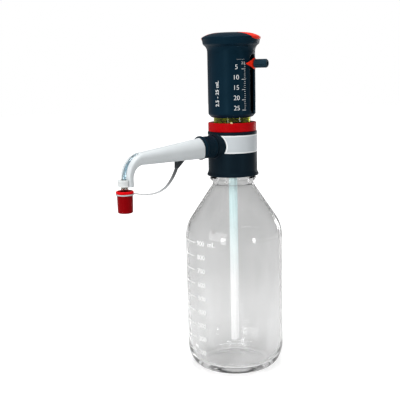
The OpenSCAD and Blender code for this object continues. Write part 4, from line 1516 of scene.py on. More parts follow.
    def cap_shell(self) -> Patch:
        """Turns the cap: flared side, rounded rim and domed top.

        Returns:
            The closed surface.
        """
        cap, foot, rim = self.cap, self.high + 0.05, float(self.dome_z(np.array(self.cap)))
        start = self.outline()[-1, 0]
        radii = cap * np.cos(np.radians(np.linspace(14, 90, 40)))
        top = np.stack([radii, self.dome_z(radii)], -1)
        top[-1, 0] = 0
        side = eased(
            [[0, foot], [start, foot], [cap - self.cap_step, foot + 2.1], [cap - 0.75, foot + 5.2],
             [cap - 0.05, rim - 0.9], [cap - 0.25, rim + 0.25], top[0], top[1]], 0.6, 5,
        )
        return Patch(turned(np.vstack([side[:-1], top[1:]]), 192))

    def pad(self, turn: float) -> Patch:
        """Lays a grip pad in the domed top.

        A point at the angle b across, from -90 to 90 degrees, has y = half width times
        sin b. It runs along x from the round inner end, centre - root of
        (half^2 - y^2), to the cap's rim, and turns down over the rim by up to 2.4 mm.
        Its inner edge runs out in the dome.

        Args:
            turn: Direction of the pad in degrees.

        Returns:
            The closed surface.
        """
        half, centre, depth = self.pad_half, self.pad_centre, self.pad_depth
        rim = self.cap - 0.9
        b = np.sin(np.radians(np.linspace(-90, 90, 49)))[None, :]
        y = half * b
        inner = centre - np.sqrt(np.maximum(half**2 - y**2, 0))
        outer = np.sqrt(rim**2 - y**2)
        share = np.sin(np.radians(np.linspace(0, 90, 33)))[:, None]
        x = inner + (outer - inner) * share
        y = y + 0 * x
        radius = np.hypot(x, y)
        edge = np.minimum(half - np.abs(y), x - inner)
        top = np.stack([x, y, self.dome_z(radius) + 0.02 + 0.06 * ramp(edge, 0.0, 0.8)], -1)
        edge_z = float(self.dome_z(np.array(self.cap)))
        turn_out = eased([[0, 0.4], [0.97, 0.12], [0.99, -0.9], [0.96, -2.4]], 0.5, 4)[1:, :, None]
        out, fall = rim + turn_out[:, 0], edge_z + turn_out[:, 1] * np.sqrt(1 - 0.9 * b**2)
        way = np.stack([outer, half * b], -1)[0] / rim
        over = np.stack([out * way[:, 0], out * way[:, 1], fall], -1)
        layer = np.concatenate([top, over], 0)
        inward = np.concatenate([np.zeros(len(top)), np.full(len(over), depth)])[:, None]
        reach = np.hypot(layer[..., 0], layer[..., 1])
        shrink = np.maximum(1 - inward / reach, 0.5)
        under = layer * np.stack([shrink, shrink, np.ones_like(shrink)], -1)
        under[..., 2] -= depth - inward * 0.6
        cos, sin = math.cos(math.radians(turn)), math.sin(math.radians(turn))
        spin = np.array([[cos, -sin, 0], [sin, cos, 0], [0, 0, 1]])
        return wafer(layer @ spin.T, under @ spin.T)

    def scale_print(self) -> list[Form]:
        """Prints the scale: a rule over it, a mark for each millilitre and the numbers.

        Returns:
            The print.
        """
        scale = self.scale
        ink = RoundPrint(self.radius, scale.thickness)
        marks: list[Form] = [ink.strip(*scale.rule, scale.rule_z, scale.rule_width, 14)]
        first, last = scale.doses
        for dose in range(first, last + 1):
            level = self.pointer - (dose - scale.least_dose) * scale.per_ml
            fifth = dose % 5 == 0
            start = scale.long if fifth else scale.short
            marks.append(ink.strip(start, scale.right, level, scale.widths[fifth], 8))
            if fifth:
                marks.append(ink.number(str(dose), scale.number, scale.number_at, level + scale.number_rise))
        least = str(scale.least_dose)
        marks.append(ink.number(least, scale.least, scale.least_at, self.pointer + scale.least_rise))
        words = glyphs(f"{least} - {last} mL", scale.words, ink.height, 0.01)
        upright = Loose(words.points[:, [1, 0, 2]] * [-1, 1, 1], words.faces)
        return [*marks, ink.wrap(upright, scale.words_at, scale.words_z)]

    def build(self) -> list[Piece]:
        """Makes the housing, the cap, the pads and the scale.

        Returns:
            The pieces.
        """
        body, (near, far) = Body.PLUNGER, self.pad_turns
        return [
            make("housing_shell", self.shell(), NAVY, body, ["housing"]),
            make("cap_shell", [self.cap_shell()], NAVY, body, ["top_cap"]),
            make("grip_pad_near", [self.pad(near)], ORANGE, body, ["grip_pad_front"]),
            make("grip_pad_far", [self.pad(far)], ORANGE, body, ["grip_pad_rear"]),
            make("dose_scale", self.scale_print(), INK, body),
        ]


@dataclass
class Pointer:
    """Red arrow and the fluted screw that clamps it."""

    slot: float = -71.0  # Direction of the slot in degrees
    level: float = 316.59  # Level of the pointer at rest
    bed: float = 24.95  # Radius of the arrow's underside
    tip: float = 11.5  # Distance of the tip from the clamp's axis
    tail: float = 4.9  # Distance of the arrow's other end from that axis
    half: float = 5.4  # Half of the arrow's height
    crest: float = 0.92  # Height of the ridge over the arrow's edge
    knob: float = 4.35
    knob_start: float = 26.65  # Distance of the knob from the dispenser's axis
    knob_length: float = 13.6
    flutes: int = 12
    flute: float = 0.45
    socket: float = 1.9  # Radius of the recess in the knob's end

    def arrow(self) -> Patch:
        """Lays the arrow on the housing, with a ridge along its middle.

        From the tip the half height grows evenly to its full value at the clamp's axis.
        The ridge falls towards both edges with |t|^1.3, where t goes from -1 to 1.

        Returns:
            The closed surface.
        """
        x = np.linspace(-self.tip, self.tail, 26)[:, None]
        t = np.linspace(-1, 1, 17)[None, :]
        half = 0.25 + (self.half - 0.25) * np.clip((x + self.tip) / self.tip, 0, 1)
        z = half * t + 0 * x
        ridge = 0.45 + self.crest * (1 - np.abs(t) ** 1.3) * np.clip(half / 3.5, 0.35, 1) + 0 * x
        layers = []
        for radius in (self.bed + ridge, self.bed + 0 * ridge):
            angle = math.radians(self.slot) + np.arcsin(x / radius)
            layers.append(np.stack([radius * np.cos(angle), radius * np.sin(angle), self.level + z], -1))
        return wafer(*layers)

    def fluted(self, angle: Array, radius: Array, height: Array) -> Array:
        """Cuts round flutes that run out near both ends of the knob.

        Args:
            angle: Direction of each point in radians.
            radius: Its distance from the knob's axis.
            height: Its distance along that axis.

        Returns:
            The changed distances.
        """
        wave = np.abs(np.cos(angle * self.flutes / 2)) ** 0.6
        run = ramp(height, 0.8, 1.6) * (1 - ramp(height, self.knob_length - 1.6, self.knob_length - 1.1))
        side = ramp(radius, self.knob - 0.6, self.knob - 0.2)
        return radius - self.flute * (1 - wave) * run * side

    def screw(self) -> Patch:
        """Turns the fluted knob with a chamfered end and a recess in it.

        Returns:
            The closed surface.
        """
        r, length, hole = self.knob, self.knob_length, self.socket
        levels = np.linspace(1, length - 1.3, 16)
        outline = eased(
            [[0, 0], [r - 0.3, 0], [r, 0.4], *([r, z] for z in levels), [r - 1.0, length],
             [hole + 0.3, length], [hole, length - 0.4], [hole, length - 3], [0, length - 3]], 0.3, 3,
        )
        points = turned(outline, 192, self.fluted)
        angle = math.radians(self.slot)
        direction = (math.cos(angle), math.sin(angle), 0)
        origin = (self.knob_start * direction[0], self.knob_start * direction[1], self.level)
        return Patch(along_axis(points, direction, origin))

    def build(self) -> list[Piece]:
        """Makes the arrow and the knob."""
        arrow, knob = [self.arrow()], [self.screw()]
        return [
            make("pointer_arrow", arrow, ORANGE, Body.POINTER, ["pointer"], crease=20),
            make("clamp_screw_head", knob, KNOB_PAINTED_HIGHLIGHT, Body.CLAMP, ["clamp_knob"]),
        ]


@dataclass
class UnionNut:
    """Union nut that clamps the spout: two collars with fine ribs between them."""

    level: float = 234.8  # Height of the outlet
    start: float = 30.0  # Distance of its near end from the dispenser's axis
    face: float = 43.4  # Distance of its shoulder from that axis
    end: float = 46.0  # Distance of its far end
    bore: float = 9.6  # Radius of the bore over the stub
    mouth: float = 7.7  # Radius of the hole for the spout
    body: float = 11.0  # Radius of the ribbed stretch
    collars: Pair = (11.3, 11.9)  # Radii of the near collar and of the far collar's bead
    ribs: int = 48
    rib: float = 0.25  # Depth of the space between two ribs

    def ribbed(self, angle: Array, radius: Array, height: Array) -> Array:
        """Cuts the ribs between the collars.

        Args:
            angle: Direction of each point in radians.
            radius: Its distance from the nut's axis.
            height: Its distance along that axis.

        Returns:
            The changed distances.
        """
        start, end = self.start + 2.4, self.end - 3.2
        run = ramp(height, start, start + 0.6) * (1 - ramp(height, end - 0.6, end))
        side = ramp(radius, self.body - 0.3, self.body - 0.05)
        return radius - self.rib * run * side * ramp(np.cos(angle * self.ribs), -0.2, 0.8)

    def shell(self) -> Patch:
        """Turns the nut with its stepped bore.

        Returns:
            The closed surface.
        """
        start, end, r, (collar, bead) = self.start, self.end, self.body, self.collars
        ribbed = [[r, u] for u in np.linspace(start + 3, end - 3.6, 12)]
        outline = eased(
            [
                [self.bore, start], [collar - 0.4, start], [collar, start + 0.5], [collar, start + 1.8],
                [r, start + 2.3], *ribbed, [r, end - 3.1], [collar, end - 2.7], [collar, end - 1.9],
                [bead, end - 1.5], [bead, end - 0.7], [collar, end - 0.1], [self.mouth, end],
                [self.mouth, self.face], [self.bore, self.face],
            ],
            0.3, 4, closed=True,
        )
        return Patch(along_axis(turned(outline, 480, self.ribbed), (-1, 0, 0), (0, 0, self.level)), loop=True)

    def build(self) -> list[Piece]:
        """Makes the nut."""
        return [make("union_nut_ribbed", [self.shell()], NAVY_RIBBED, Body.NUT, ["union_nut"])]


@dataclass
class Spout:
    """Spout with its channel, tube, collar and nozzle."""

    level: float = 234.8  # Height of the outlet
    root: float = 46.3  # Distance of the spout's root from the axis
    reach: float = 140.2  # Distance of the nozzle from the axis
    bend: float = 21.2  # Radius of the discharge tube's bend
    lip: float = 139.5  # Distance of the outer face of the spout's end
    end_z: float = 206.8  # Level of that end
    end_depth: float = 5.9  # Depth of the spout at its end, from the outer face inwards
    elbow: Pair = (22.0, 11.6)  # Radii of the elbow's outer and inner line
    elbow_fall: Pair = (19.2, 20.8)  # How far the centres of the two lie under the outlet
    root_z: Pair = (10.1, -10.4)  # How far the root's upper and lower edge lie from the outlet's level
    channel: float = 2.4
    channel_turn: Pair = (13.0, 14.5)  # Degrees of the elbow between which the channel opens
    tube: float = 2.05  # Radius of the discharge tube
    tube_bore: float = 1.2
    widths: Triple = (19.0, 15.0, 14.6)  # Width at the root, the elbow and the end
    # Exponent of the upper side's arch at the root, and what it gains up to the elbow and round it
    arch: Triple = (1.7, 0.7, 2.6)
    belly: float = 4.5  # Exponent of the lower side's arch
    spigot: Pair = (5.1, 7.6)  # Radii of the spigot in the union nut, bore and outside
    spigot_ends: Pair = (43.4, 47.5)  # Distances of its ends from the axis
    collar_r: float = 6.5  # Radius of the nozzle's collar
    collar_ribs: int = 34  # Number of ribs that a full turn of it would hold
    # Radii of the nozzle's shank, its tip, its socket and its bore
    nozzle_r: tuple[float, float, float, float] = (3.5, 2.0, 2.1, 1.2)
    nozzle_z: float = 190.15
    straight_steps: int = 21  # Stretches between the root and the elbow
    drop_steps: int = 6  # Stretches between the elbow and the end

    def line(self, radius: float, centre: Array, root: Array, foot: Array, t: Array) -> Array:
        """Draws the upper or the lower line of the spout.

        It runs straight to the elbow, follows a quarter circle and drops to the end.

        Args:
            radius: Radius of the quarter circle.
            centre: Its centre, as x and z.
            root: Where the line starts.
            foot: Where it ends.
            t: Angles of the quarter circle in radians.

        Returns:
            Points of x and z.
        """
        along = np.linspace(0, 1, self.straight_steps + 1)[:-1, None]
        round_elbow = centre + radius * np.stack([np.sin(t), np.cos(t)], -1)
        down = np.linspace(0, 1, self.drop_steps + 1)[1:, None]
        straight = root + (centre + [0, radius] - root) * along
        return np.vstack([straight, round_elbow, round_elbow[-1] + (foot - round_elbow[-1]) * down])

    def rail(self, count: int = 70) -> tuple[Array, Array, Array, Array]:
        """Draws the spout's two lines, with its width and turn at each of their points.

        Args:
            count: Number of places round the elbow's open stretch.

        Returns:
            Upper line, lower line, width, and degrees by which the spout has turned.
        """
        (outer_r, inner_r), (outer_fall, inner_fall) = self.elbow, self.elbow_fall
        root_top, root_foot = self.root_z
        inside = self.lip - self.end_depth
        stretches = ((0, 11, 6), (11.6, 14, 6), (16, 90, count))
        degrees = np.concatenate([np.linspace(*stretch) for stretch in stretches])
        t = np.radians(degrees)
        top = self.line(outer_r, np.array([self.lip - outer_r, self.level - outer_fall]),
                        np.array([self.root, self.level + root_top]), np.array([self.lip, self.end_z]), t)
        foot = self.line(inner_r, np.array([inside - inner_r, self.level - inner_fall]),
                         np.array([self.root, self.level + root_foot]), np.array([inside, self.end_z]), t)
        root_w, elbow_w, end_w = self.widths
        before, after = self.straight_steps, self.drop_steps
        straight_w = root_w + (elbow_w - root_w) * np.linspace(0, 1, before + 1)[:-1]
        turned_w = elbow_w + (end_w - elbow_w) * degrees / 90
        width = np.concatenate([straight_w, turned_w, np.full(after, end_w)])
        return top, foot, width, np.concatenate([np.zeros(before), degrees, np.full(after, 90.0)])

    def tube_at(self, turn: Array, middle: Array) -> Array:
        """Finds the middle of the discharge tube beside each section of the spout.

        It follows a quarter circle of the radius bend and then drops straight down.

        Args:
            turn: Degrees by which the spout has turned.
            middle: Middle of each section.

        Returns:
            Points of x and z.
        """
        t = np.radians(turn)
        centre = np.array([self.reach - self.bend, self.level - self.bend])
        place = centre + self.bend * np.stack([np.sin(t), np.cos(t)], -1)
        low = turn >= 90
        place[low] = np.stack([np.full(low.sum(), self.reach), middle[low, 1]], -1)
        return place

    def sections(
        self, up: Array, middle: Array, half_h: Array, half_w: Array, turn: Array, power: Array
    ) -> Array:
        """Draws the spout's sections.

        The upper side is an arch, height = half (1 - |c|^p)^(1/p) over c from 1 to -1
        across, and the lower side is the same with an exponent of its own. From the
        elbow on, the middle of the arch sinks to a half round channel about the tube.

        Args:
            up: Direction from the lower to the upper line.
            middle: Middle between the two lines.
            half_h: Half of the height.
            half_w: Half of the width.
            turn: Degrees by which the spout has turned.
            power: Exponent of the arch.

        Returns:
            Points across and up for each section.
        """

        def arch(c: Array, p: Array | float) -> Array:
            """Height of the arch over the share c across."""
            return (1 - np.abs(c) ** p) ** (1 / p)

        c = np.cos(np.linspace(0, 1, 20)[None, :] * np.arccos(self.channel / half_w))
        right = np.stack([half_w * c, half_h * arch(c, power)], -1)
        b = np.radians(np.linspace(90, -90, 21))[None, :]
        wall = np.sin(b) * self.channel
        height = np.einsum("ij,ij->i", self.tube_at(turn, middle) - middle, up)[:, None]
        whole = half_h * arch(wall / half_w, power)
        sunk = np.minimum(height - np.cos(b) * self.channel, right[:, -1:, 1])
        opened = ramp(turn, *self.channel_turn)[:, None]
        groove = np.stack([wall + 0 * whole, whole + (sunk - whole) * opened], -1)
        left = right[:, ::-1] * np.array([-1, 1])
        c = np.cos(np.linspace(0, math.pi, 24)[None, 1:-1])
        under = np.stack([-half_w * c, -half_h * arch(c, self.belly)], -1)
        return np.concatenate([right, groove[:, 1:-1], left, under], 1)

    def body(self) -> Patch:
        """Lays the spout as a skin over its two lines.

        The exponent of the upper side's arch grows from a pointed one at the root to a
        square one at the end. The first two rows close the root with an eased edge.

        Returns:
            The closed surface.
        """
        top, foot, width, turn = self.rail()
        middle = (top + foot) / 2
        half_h = np.linalg.norm(top - foot, axis=1)[:, None] / 2
        up = (top - foot) / (2 * half_h)
        straight = np.clip((top[:, 0] - self.root) / (self.lip - self.elbow[0] - self.root), 0, 1)
        at_root, to_elbow, to_end = self.arch
        power = (at_root + to_elbow * straight + to_end * turn / 90)[:, None]
        section = self.sections(up, middle, half_h, width[:, None] / 2, turn, power)
        plane = middle[:, None] + up[:, None] * section[..., 1:]
        grid = np.stack([-plane[..., 0], section[..., 0], plane[..., 1]], -1)
        root = grid[:1].copy()
        root[..., 1:] = (root[..., 1:] - [0, self.level]) * 0.93 + [0, self.level]
        grid[0, :, 0] -= 0.5
        return Patch(np.concatenate([root, grid], 0), capped=True)

    def tubing(self) -> Patch:
        """Sweeps the discharge tube: straight, a quarter bend, straight down, and its bore.

        Returns:
            The closed surface.
        """
        t = np.linspace(0, math.pi / 2, 30)
        bend_x, bend_z = self.reach - self.bend * (1 - np.sin(t)), self.level - self.bend * (1 - np.cos(t))
        bend = np.stack([bend_x, bend_z], -1)
        start = np.stack([np.linspace(44.4, bend[0, 0], 20)[:-1], np.full(19, self.level)], -1)
        drop = np.stack([np.full(8, self.reach), np.linspace(bend[-1, 1], self.end_z - 1.5, 9)[1:]], -1)
        route = np.vstack([start, bend, drop]) * np.array([-1, 1])
        a = np.linspace(0, 2 * math.pi, 32, endpoint=False)

        def circle(radius: float) -> Array:
            """Sweeps a circle along the route."""
            ring = radius * np.stack([np.cos(a), np.sin(a)], -1)
            return swept(route, lambda share: np.broadcast_to(ring, (len(share), *ring.shape)))

        return Patch(np.concatenate([circle(self.tube), circle(self.tube_bore)[::-1]], 0), loop=True)

    def collar(self) -> Patch:
        """Carries the half collar's section round the nozzle.

        The section has a band at its top, and ribs under the band: at the angle a the
        radius falls by a share of (1 + cos(ribs a)) / 2.

        Returns:
            The closed surface.
        """
        foot, high, bore = self.end_z + 0.5, self.end_z + 6.7, self.nozzle_r[0] + 0.1
        angle = np.radians(np.linspace(92, 268, 120))[None, :]
        r = self.collar_r
        side = r - 0.3
        corners = [[bore, foot], [side, foot], [side, high - 1.9], [r, high - 1.6], [r, high], [bore, high]]
        outline = eased(corners, 0.3, 4)
        levels = outline[:, 1:]
        below = (1 - ramp(levels, high - 2.3, high - 1.8)) * ramp(levels, foot, foot + 0.5)
        rib = 0.25 * (1 + np.cos(angle * self.collar_ribs)) / 2 * below
        radius = outline[:, :1] - rib * (outline[:, :1] > 5)
        points = np.stack([radius * np.cos(angle), radius * np.sin(angle), levels + 0 * angle], -1)
        return Patch(moved(points.transpose(1, 0, 2), x=-self.reach), capped=True)

    def nozzle(self) -> Patch:
        """Turns the tapered nozzle with its socket and bore.

        Returns:
            The closed surface.
        """
        foot, high, socket_foot = self.nozzle_z, self.end_z + 6.95, self.end_z - 1.5
        shank, tip, socket, bore = self.nozzle_r
        outline = eased([[bore, foot], [tip, foot], [shank, foot + 6], [shank, high], [socket, high],
                         [socket, socket_foot], [bore, socket_foot]], 0.3, 4, closed=True)
        return Patch(moved(turned(outline, 64), x=-self.reach), loop=True)

    def plug(self) -> Patch:
        """Turns the spigot that seats in the union nut.

        Returns:
            The closed surface.
        """
        (bore, outside), (near, far) = self.spigot, self.spigot_ends
        section = np.array([[bore, near], [outside, near], [outside, far], [bore, far]])
        return Patch(along_axis(turned(section, 64), (-1, 0, 0), (0, 0, self.level)), loop=True)

    def build(self) -> list[Piece]:
        """Makes the spout, the tube, the collar and the nozzle."""
        body, arm = Body.DISPENSER, [self.body(), self.plug()]
        return [
            make("spout_body", arm, PALE, body, ["discharge_arm"], crease=40),
            make("spout_tubing", [self.tubing()], TUBING, body, ["discharge_tube"]),
            make("spout_collar", [self.collar()], WHITE, body, ["nozzle_collar"]),
            make("spout_nozzle", [self.nozzle()], NOZZLE, body, ["nozzle"]),
        ]


@dataclass
class NozzleCap:
    """Push-on cap with its tether."""

    reach: float = 140.2  # Distance of the cap from the dispenser's axis
    top: float = 203.3  # Level of the cap's mouth
    foot: float = 182.5
    outlet: float = 234.8  # Height of the outlet, from which the strap and the wedge are measured
    ring_width: Pair = (7.45, 8.35)  # Inner and outer radius of the tether's ring
    ring_drop: float = 4.05  # How far the foot of the ring lies under the cap's mouth
    ring_rise: float = 1.2
    strap_wide: float = 3.0  # Width of the strap
    strap_thick: Pair = (1.15, 1.0)  # Thickness of the strap near the ring, and what it gains on the way
    wedge_half: float = 1.9  # Half of the wedge's width
    # Width of the wedge's eased edge, and the share by which its face shrinks
    wedge_edge: Pair = (0.3, 0.0875)

    def cup(self) -> Patch:
        """Turns the cap, with a rounded flange, a funnel mouth and a faint taper.

        Returns:
            The surface, closed at the axis.
        """
        top, foot = self.top, self.foot
        outline = eased(
            [[0, foot], [6.3, foot], [7.1, foot + 0.9], [7.4, top - 7.5], [7.4, top - 2.8], [7.7, top - 2.8],
             [8.3, top - 2.4], [8.35, top - 1.1], [7.9, top - 0.2], [7.2, top - 0.05], [6.6, top - 0.4],
             [3.6, top - 4.4], [3.58, foot + 2], [0, foot + 2]], 0.45, 5,
        )
        return Patch(moved(turned(outline, 128), x=-self.reach))

    def flange(self) -> Patch:
        """Turns the bead over the cap's flange, in a lighter red that is a painted highlight.

        Returns:
            The closed surface.
        """
        top = self.top
        outline = eased(
            [[7.75, top - 2.75], [8.35, top - 2.45], [8.42, top - 1.1], [7.95, top - 0.15], [7.2, top],
             [6.6, top - 0.3], [7.3, top - 1.2]], 0.4, 4, closed=True,
        )
        return Patch(moved(turned(outline, 128), x=-self.reach), loop=True)

    def ring(self) -> Patch:
        """Turns the ring of the tether.

        Returns:
            The closed surface.
        """
        low, (inner, outer) = self.top - self.ring_drop, self.ring_width
        high = low + self.ring_rise
        outline = eased([[inner, low], [outer, low], [outer, high], [inner, high]], 0.3, 4, closed=True)
        return Patch(moved(turned(outline, 96), x=-self.reach), loop=True)

    def strap(self) -> Patch:
        """Sweeps the strap that hangs from the ring and rises to the wedge.

        Its section is a rounded rectangle that grows thicker towards the wedge.

        Returns:
            The closed surface.
        """
        drop = np.array([
            [131.8, -34.95], [126, -36.1], [120, -37.4], [114, -38.2], [108, -38.5], [102, -38], [97, -36.8],
            [92, -34.6], [88, -31.8], [84.5, -28.4], [81.5, -24.8], [79, -21], [77.4, -18.2], [76.6, -16.6],
        ])
        route = smooth_route(drop * np.array([-1, 1]) + np.array([0, self.outlet]), 90)
        corners = eased([[-0.5, -0.5], [0.5, -0.5], [0.5, 0.5], [-0.5, 0.5]], 0.22, 4, closed=True)
        thin, gain = self.strap_thick

        def section(share: Array) -> Array:
            """Scales the rounded rectangle at each share of the route."""
            thick = thin + gain * ramp(share, 0.62, 0.95)
            wide = self.strap_wide + 0 * share
            return corners[None] * np.stack([thick, wide], -1)[:, None]

        return Patch(swept(route, section), capped=True)

    def wedge(self) -> Patch:
        """Stacks the wedge under the spout that grips the strap, with eased edges.

        Returns:
            The closed surface.
        """
        corners = [[66.9, -10.12], [77.7, -9.95], [78.0, -17.2], [76.0, -17.6], [73.6, -15.6]]
        side = eased(corners, 0.7, 4, closed=True)
        middle = side.mean(0)
        half, (edge, shrink) = self.wedge_half, self.wedge_edge
        rows = []
        for y, share in ((-half, 1 - shrink), (edge - half, 1.0), (half - edge, 1.0), (half, 1 - shrink)):
            x, z = (middle + (side - middle) * share).T
            rows.append(np.stack([-x, np.full(len(side), y), self.outlet + z], -1))
        return Patch(np.stack(rows), capped=True)

    def build(self) -> list[Piece]:
        """Makes the cap, the ring, the strap and the wedge.

        Returns:
            The pieces, of which the strap rides on no body and runs from the wedge to the cap's ring.
        """
        cup = make("nozzle_cap_body", [self.cup()], DEEP_RED, Body.CAP, ["nozzle_cap"])
        flange = make("nozzle_cap_flange", [self.flange()], FLANGE_PAINTED_HIGHLIGHT, Body.CAP)
        ring = make("tether_ring_body", [self.ring()], TETHER, Body.CAP, ["tether_ring"])
        strap = make("tether_strap_body", [self.strap()], STRAP, None, ["tether_strap"])
        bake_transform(strap)
        wedge = make("tether_wedge", [self.wedge()], WEDGE_PAINTED_SHADE, Body.DISPENSER, ["tether_anchor"])
        return [cup, flange, ring, strap, wedge]


@dataclass
class OutletSpring:
    """Coil that holds the outlet's ball on its seat and gives way as the ball lifts."""

    first: float = -24.63  # Where the coil starts, next to the ball
    last: float = -35.92  # Where it ends
    level: float = 234.8  # Level of its axis
    coil: float = 2.15
    wire: float = 0.5
    turns: int = 6
    lift: float = 1.4

    def wound(self) -> Patch:
        """Winds the wire in a helix.

        At the turn a and the angle b round the wire of radius w, the distance from the
        axis is R + w cos b, and x runs evenly from end to end, plus w sin b.

        Returns:
            The closed surface.
        """
        half = self.wire / 2
        turn = np.linspace(0, 2 * math.pi * self.turns, 20 * self.turns + 1)[:, None]
        round_wire = np.linspace(0, 2 * math.pi, 10, endpoint=False)[None, :]
        share = turn / turn[-1, 0]
        along = (self.first - half) * (1 - share) + (self.last + half) * share + half * np.sin(round_wire)
        radius = self.coil + half * np.cos(round_wire)
        y, z = radius * np.cos(turn), self.level + radius * np.sin(turn)
        return Patch(np.stack([along, y, z], -1), capped=True)

    def build(self) -> list[Piece]:
        """Makes the coil, with a mesh of its own.

        Returns:
            The one piece.
        """
        coil = [self.wound()]
        piece = make("outlet_spring_coil", coil, STEEL, Body.DISPENSER, ["outlet_spring"])
        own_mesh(piece)
        return [piece]


# ---------------------------------------------------------------- studio


@dataclass(frozen=True)
class Viewpoint:
    """Where the camera stands and how it looks at the object."""

    place: Triple = (-580.2, -594.4, 319.2)  # Place in millimetres
    heading: float = 41.9  # Degrees from the y axis to the right
    pitch: float = 9.72  # Degrees by which it looks down
    roll: float = -1.3
    lens: float = 72.47  # Focal length for a sensor 36 mm wide

    def set_up(self) -> None:
        """Makes the camera and looks through it."""
        h, p, r = (math.radians(a) for a in (self.heading, self.pitch, self.roll))
        forward = np.array([math.sin(h) * math.cos(p), math.cos(h) * math.cos(p), -math.sin(p)])
        right = np.array([math.cos(h), -math.sin(h), 0.0])
        up = np.cross(right, forward)
        across = math.cos(r) * right + math.sin(r) * up
        upright = -math.sin(r) * right + math.cos(r) * up
        whole = np.eye(4)
        whole[:3, :3] = np.stack([across, upright, -forward], 1)
        whole[:3, 3] = np.array(self.place) * MM
        data = bpy.data.cameras.new("camera")
        data.lens = self.lens
        data.sensor_width = 36.0
        data.clip_start = 0.01
        camera = bpy.data.objects.new("camera", data)
        camera.matrix_world = Matrix(whole.tolist())
        bpy.context.scene.collection.objects.link(camera)
        bpy.context.scene.camera = camera


@dataclass(frozen=True)
class SoftLight:
    """Large lamp that points at the object."""

    name: str
    place: Triple  # Place in metres
    width: float
    height: float
    power: float  # Power in watts
    mirrored: bool = True  # Whether gloss mirrors it
    target: Triple = (-0.03, 0, 0.19)  # Point that it faces, the same for every lamp

    def hang(self) -> None:
        """Hangs the lamp and turns it to the object."""
        data = bpy.data.lights.new(self.name, "AREA")
        data.shape = "RECTANGLE"
        data.size, data.size_y, data.energy = self.width, self.height, self.power
        lamp = bpy.data.objects.new(self.name, data)
        place = np.array(self.place)
        back = place - np.array(self.target)
        back = back / np.linalg.norm(back)
        side = np.cross([0, 0, 1], back)
        side = side / np.linalg.norm(side)
        whole = np.eye(4)
        whole[:3, :3] = np.stack([side, np.cross(back, side), back], 1)
        whole[:3, 3] = place
        lamp.matrix_world = Matrix(whole.tolist())
        lamp.visible_glossy = self.mirrored
        bpy.context.scene.collection.objects.link(lamp)


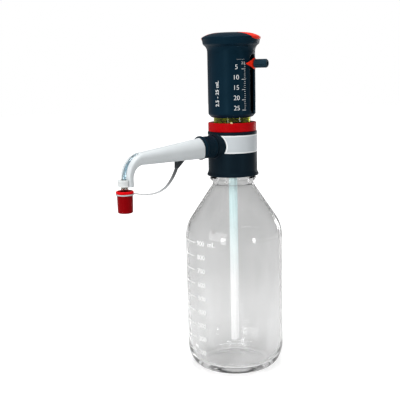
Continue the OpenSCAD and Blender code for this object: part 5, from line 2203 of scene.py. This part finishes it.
@dataclass
class Studio:
    """Studio with a pale floor, white surroundings and soft lamps."""

    ambient: float = 0.46  # Strength of the light from all round
    gloss: float = 0.95  # Strength of what gloss mirrors at the horizon
    glass: float = 0.63  # Strength of what is seen through glass
    bright_side: Triple = (-0.98, -0.05, 0.15)  # Direction in which gloss mirrors the most light
    inside: float = 1.15  # Strength of what lights the things behind glass
    dim: Pair = (0.22, 0.25)  # Shares of the gloss that stay on the dark side and overhead
    floor_half: float = 4.0  # Half of the floor's width in metres
    floor_colour: float = 0.55  # Colour of the floor where it lights the object
    # Metres from the middle at which the seen floor starts and ends to turn white, and its glow at both
    floor_white: tuple[float, float, float, float] = (0.5, 1.2, 0.58, 1.0)
    # The same for the floor behind glass
    floor_glass: tuple[float, float, float, float] = (0.06, 0.40, 0.36, 0.13)
    floor_gloss: float = 0.2  # Glow of the floor in gloss
    floor_inside: float = 0.7  # Glow of the floor for things behind glass
    lamps: list[SoftLight] = field(
        default_factory=lambda: [
            SoftLight("key lamp", (-0.32, -0.16, 1.75), 0.7, 0.7, 19.0),
            SoftLight("left lamp", (-1.42, -0.52, 0.22), 0.30, 0.30, 1.3),
            SoftLight("left fill", (-1.5, -0.12, 0.44), 1.3, 0.8, 10.0, mirrored=False),
            SoftLight("right lamp", (0.08, -1.5, 0.16), 0.16, 0.2, 1.2),
            SoftLight("rim lamp", (0.70, 0.60, 1.45), 0.6, 0.6, 5.0, mirrored=False),
            SoftLight("edge lamp", (1.46, 0.22, 0.20), 0.22, 0.34, 1.2),
        ]
    )

    @staticmethod
    def choose(tree: bpy.types.NodeTree, share: Socket, without: Level, with_it: Level) -> Socket:
        """Goes from one level to another one as a share goes from 0 to 1.

        Args:
            tree: Nodes in which it is laid.
            share: Output that holds the share.
            without: Level at 0.
            with_it: Level at 1.

        Returns:
            The level's output.
        """
        node = tree.nodes.new("ShaderNodeMapRange")
        tree.links.new(share, node.inputs["Value"])
        for socket, level in (("To Min", without), ("To Max", with_it)):
            if isinstance(level, float):
                node.inputs[socket].default_value = level
            else:
                tree.links.new(level, node.inputs[socket])
        return node.outputs["Result"]

    def seen(
        self,
        tree: bpy.types.NodeTree,
        rest: float,
        mirrored: Level,
        through: Level,
        inside: float,
        camera: Level,
    ) -> Socket:
        """Gives a level for each kind of ray.

        Args:
            tree: Nodes in which it is laid.
            rest: Level for light that falls on matt surfaces.
            mirrored: Level for gloss.
            through: Level that is seen through glass.
            inside: Level that lights what stands behind glass.
            camera: Level that the camera sees.

        Returns:
            The level's output.
        """
        path = tree.nodes.new("ShaderNodeLightPath").outputs
        behind = self.choose(tree, path["Diffuse Depth"], through, inside)
        level = self.choose(tree, path["Is Glossy Ray"], rest, mirrored)
        level = self.choose(tree, path["Is Transmission Ray"], level, behind)
        return self.choose(tree, path["Is Camera Ray"], level, camera)

    def surroundings(self) -> None:
        """Makes the world white where it is seen, dimmer overhead in gloss, and even otherwise."""
        world = bpy.data.worlds.new("surroundings")
        world.use_nodes = True
        tree = world.node_tree
        background = next(n for n in tree.nodes if n.type == "BACKGROUND")
        background.inputs["Color"].default_value = (1, 1, 1, 1)
        place = tree.nodes.new("ShaderNodeTexCoord")
        parts = tree.nodes.new("ShaderNodeSeparateXYZ")
        tree.links.new(place.outputs["Generated"], parts.inputs["Vector"])
        side = tree.nodes.new("ShaderNodeVectorMath")
        side.operation = "DOT_PRODUCT"
        side.inputs[1].default_value = self.bright_side
        tree.links.new(place.outputs["Generated"], side.inputs[0])
        dark_side, overhead = self.dim
        low_sky = self.choose(tree, side.outputs["Value"], self.gloss * dark_side, self.gloss)
        sky = self.choose(tree, parts.outputs["Z"], low_sky, self.gloss * overhead)
        level = self.seen(tree, self.ambient, sky, self.glass, self.inside, 1.0)
        tree.links.new(level, background.inputs["Strength"])
        bpy.context.scene.world = world

    def floor(self) -> None:
        """Lays a pale floor that reads white and still shows the object's shadow."""
        half = self.floor_half
        corners = [(-half, -half, 0), (half, -half, 0), (half, half, 0), (-half, half, 0)]
        mesh = bpy.data.meshes.new("floor")
        mesh.from_pydata(corners, [], [(0, 1, 2, 3)])
        board = Board("floor")
        board.put("Base Color", (self.floor_colour,) * 3)
        board.put("Roughness", 0.9)
        board.put("Specular IOR Level", 0.0)
        board.put("Emission Color", (1.0, 1.0, 1.0))
        away = board.tree.nodes.new("ShaderNodeVectorMath")
        away.operation = "LENGTH"
        board.tree.links.new(board.place, away.inputs[0])
        white = board.spread(away.outputs["Value"], *self.floor_white)
        under = board.spread(away.outputs["Value"], *self.floor_glass)
        glow = self.seen(board.tree, 0.0, self.floor_gloss, under, self.floor_inside, white)
        board.link(glow, "Emission Strength")
        mesh.materials.append(board.material)
        plane = bpy.data.objects.new("floor", mesh)
        bpy.context.scene.collection.objects.link(plane)

    def set_up(self) -> None:
        """Makes the surroundings, the floor and the lamps."""
        bpy.context.scene.view_settings.view_transform = "Standard"
        self.surroundings()
        self.floor()
        for lamp in self.lamps:
            lamp.hang()


def main() -> None:
    """Loads the frame, sets up the studio, and builds and reports the pieces in order."""
    logging.basicConfig(level=logging.INFO, format="%(name)s: %(message)s")
    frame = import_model()
    Viewpoint().set_up()
    Studio().set_up()
    parts: list[Part] = [
        Bottle(), FillingTube(), ValveBlock(), LockRing(), DosingUnit(), Housing(), Pointer(), UnionNut(),
        Spout(), NozzleCap(), OutletSpring(),
    ]
    for part in parts:
        for piece in part.build():
            LOG.info("%s: %d faces", piece.name, len(piece.data.polygons))
    nodes = frame["nodes"]
    dress(nodes, ["neck_seal", "inlet_valve", "outlet_seat", "outlet_valve", "piston_seal"], WHITE)
    dress(nodes, ["vent_plug"], NAVY)
    dress(nodes, ["inlet_ball", "outlet_ball"], CERAMIC)
    dress(nodes, ["pointer_slider"], NEAR_BLACK)
    dress(nodes, ["clamp_stud"], STEEL)
    dress(nodes, ["outlet_o_ring"], RUBBER)
    bpy.context.view_layer.update()


if __name__ == "__main__":
    main()
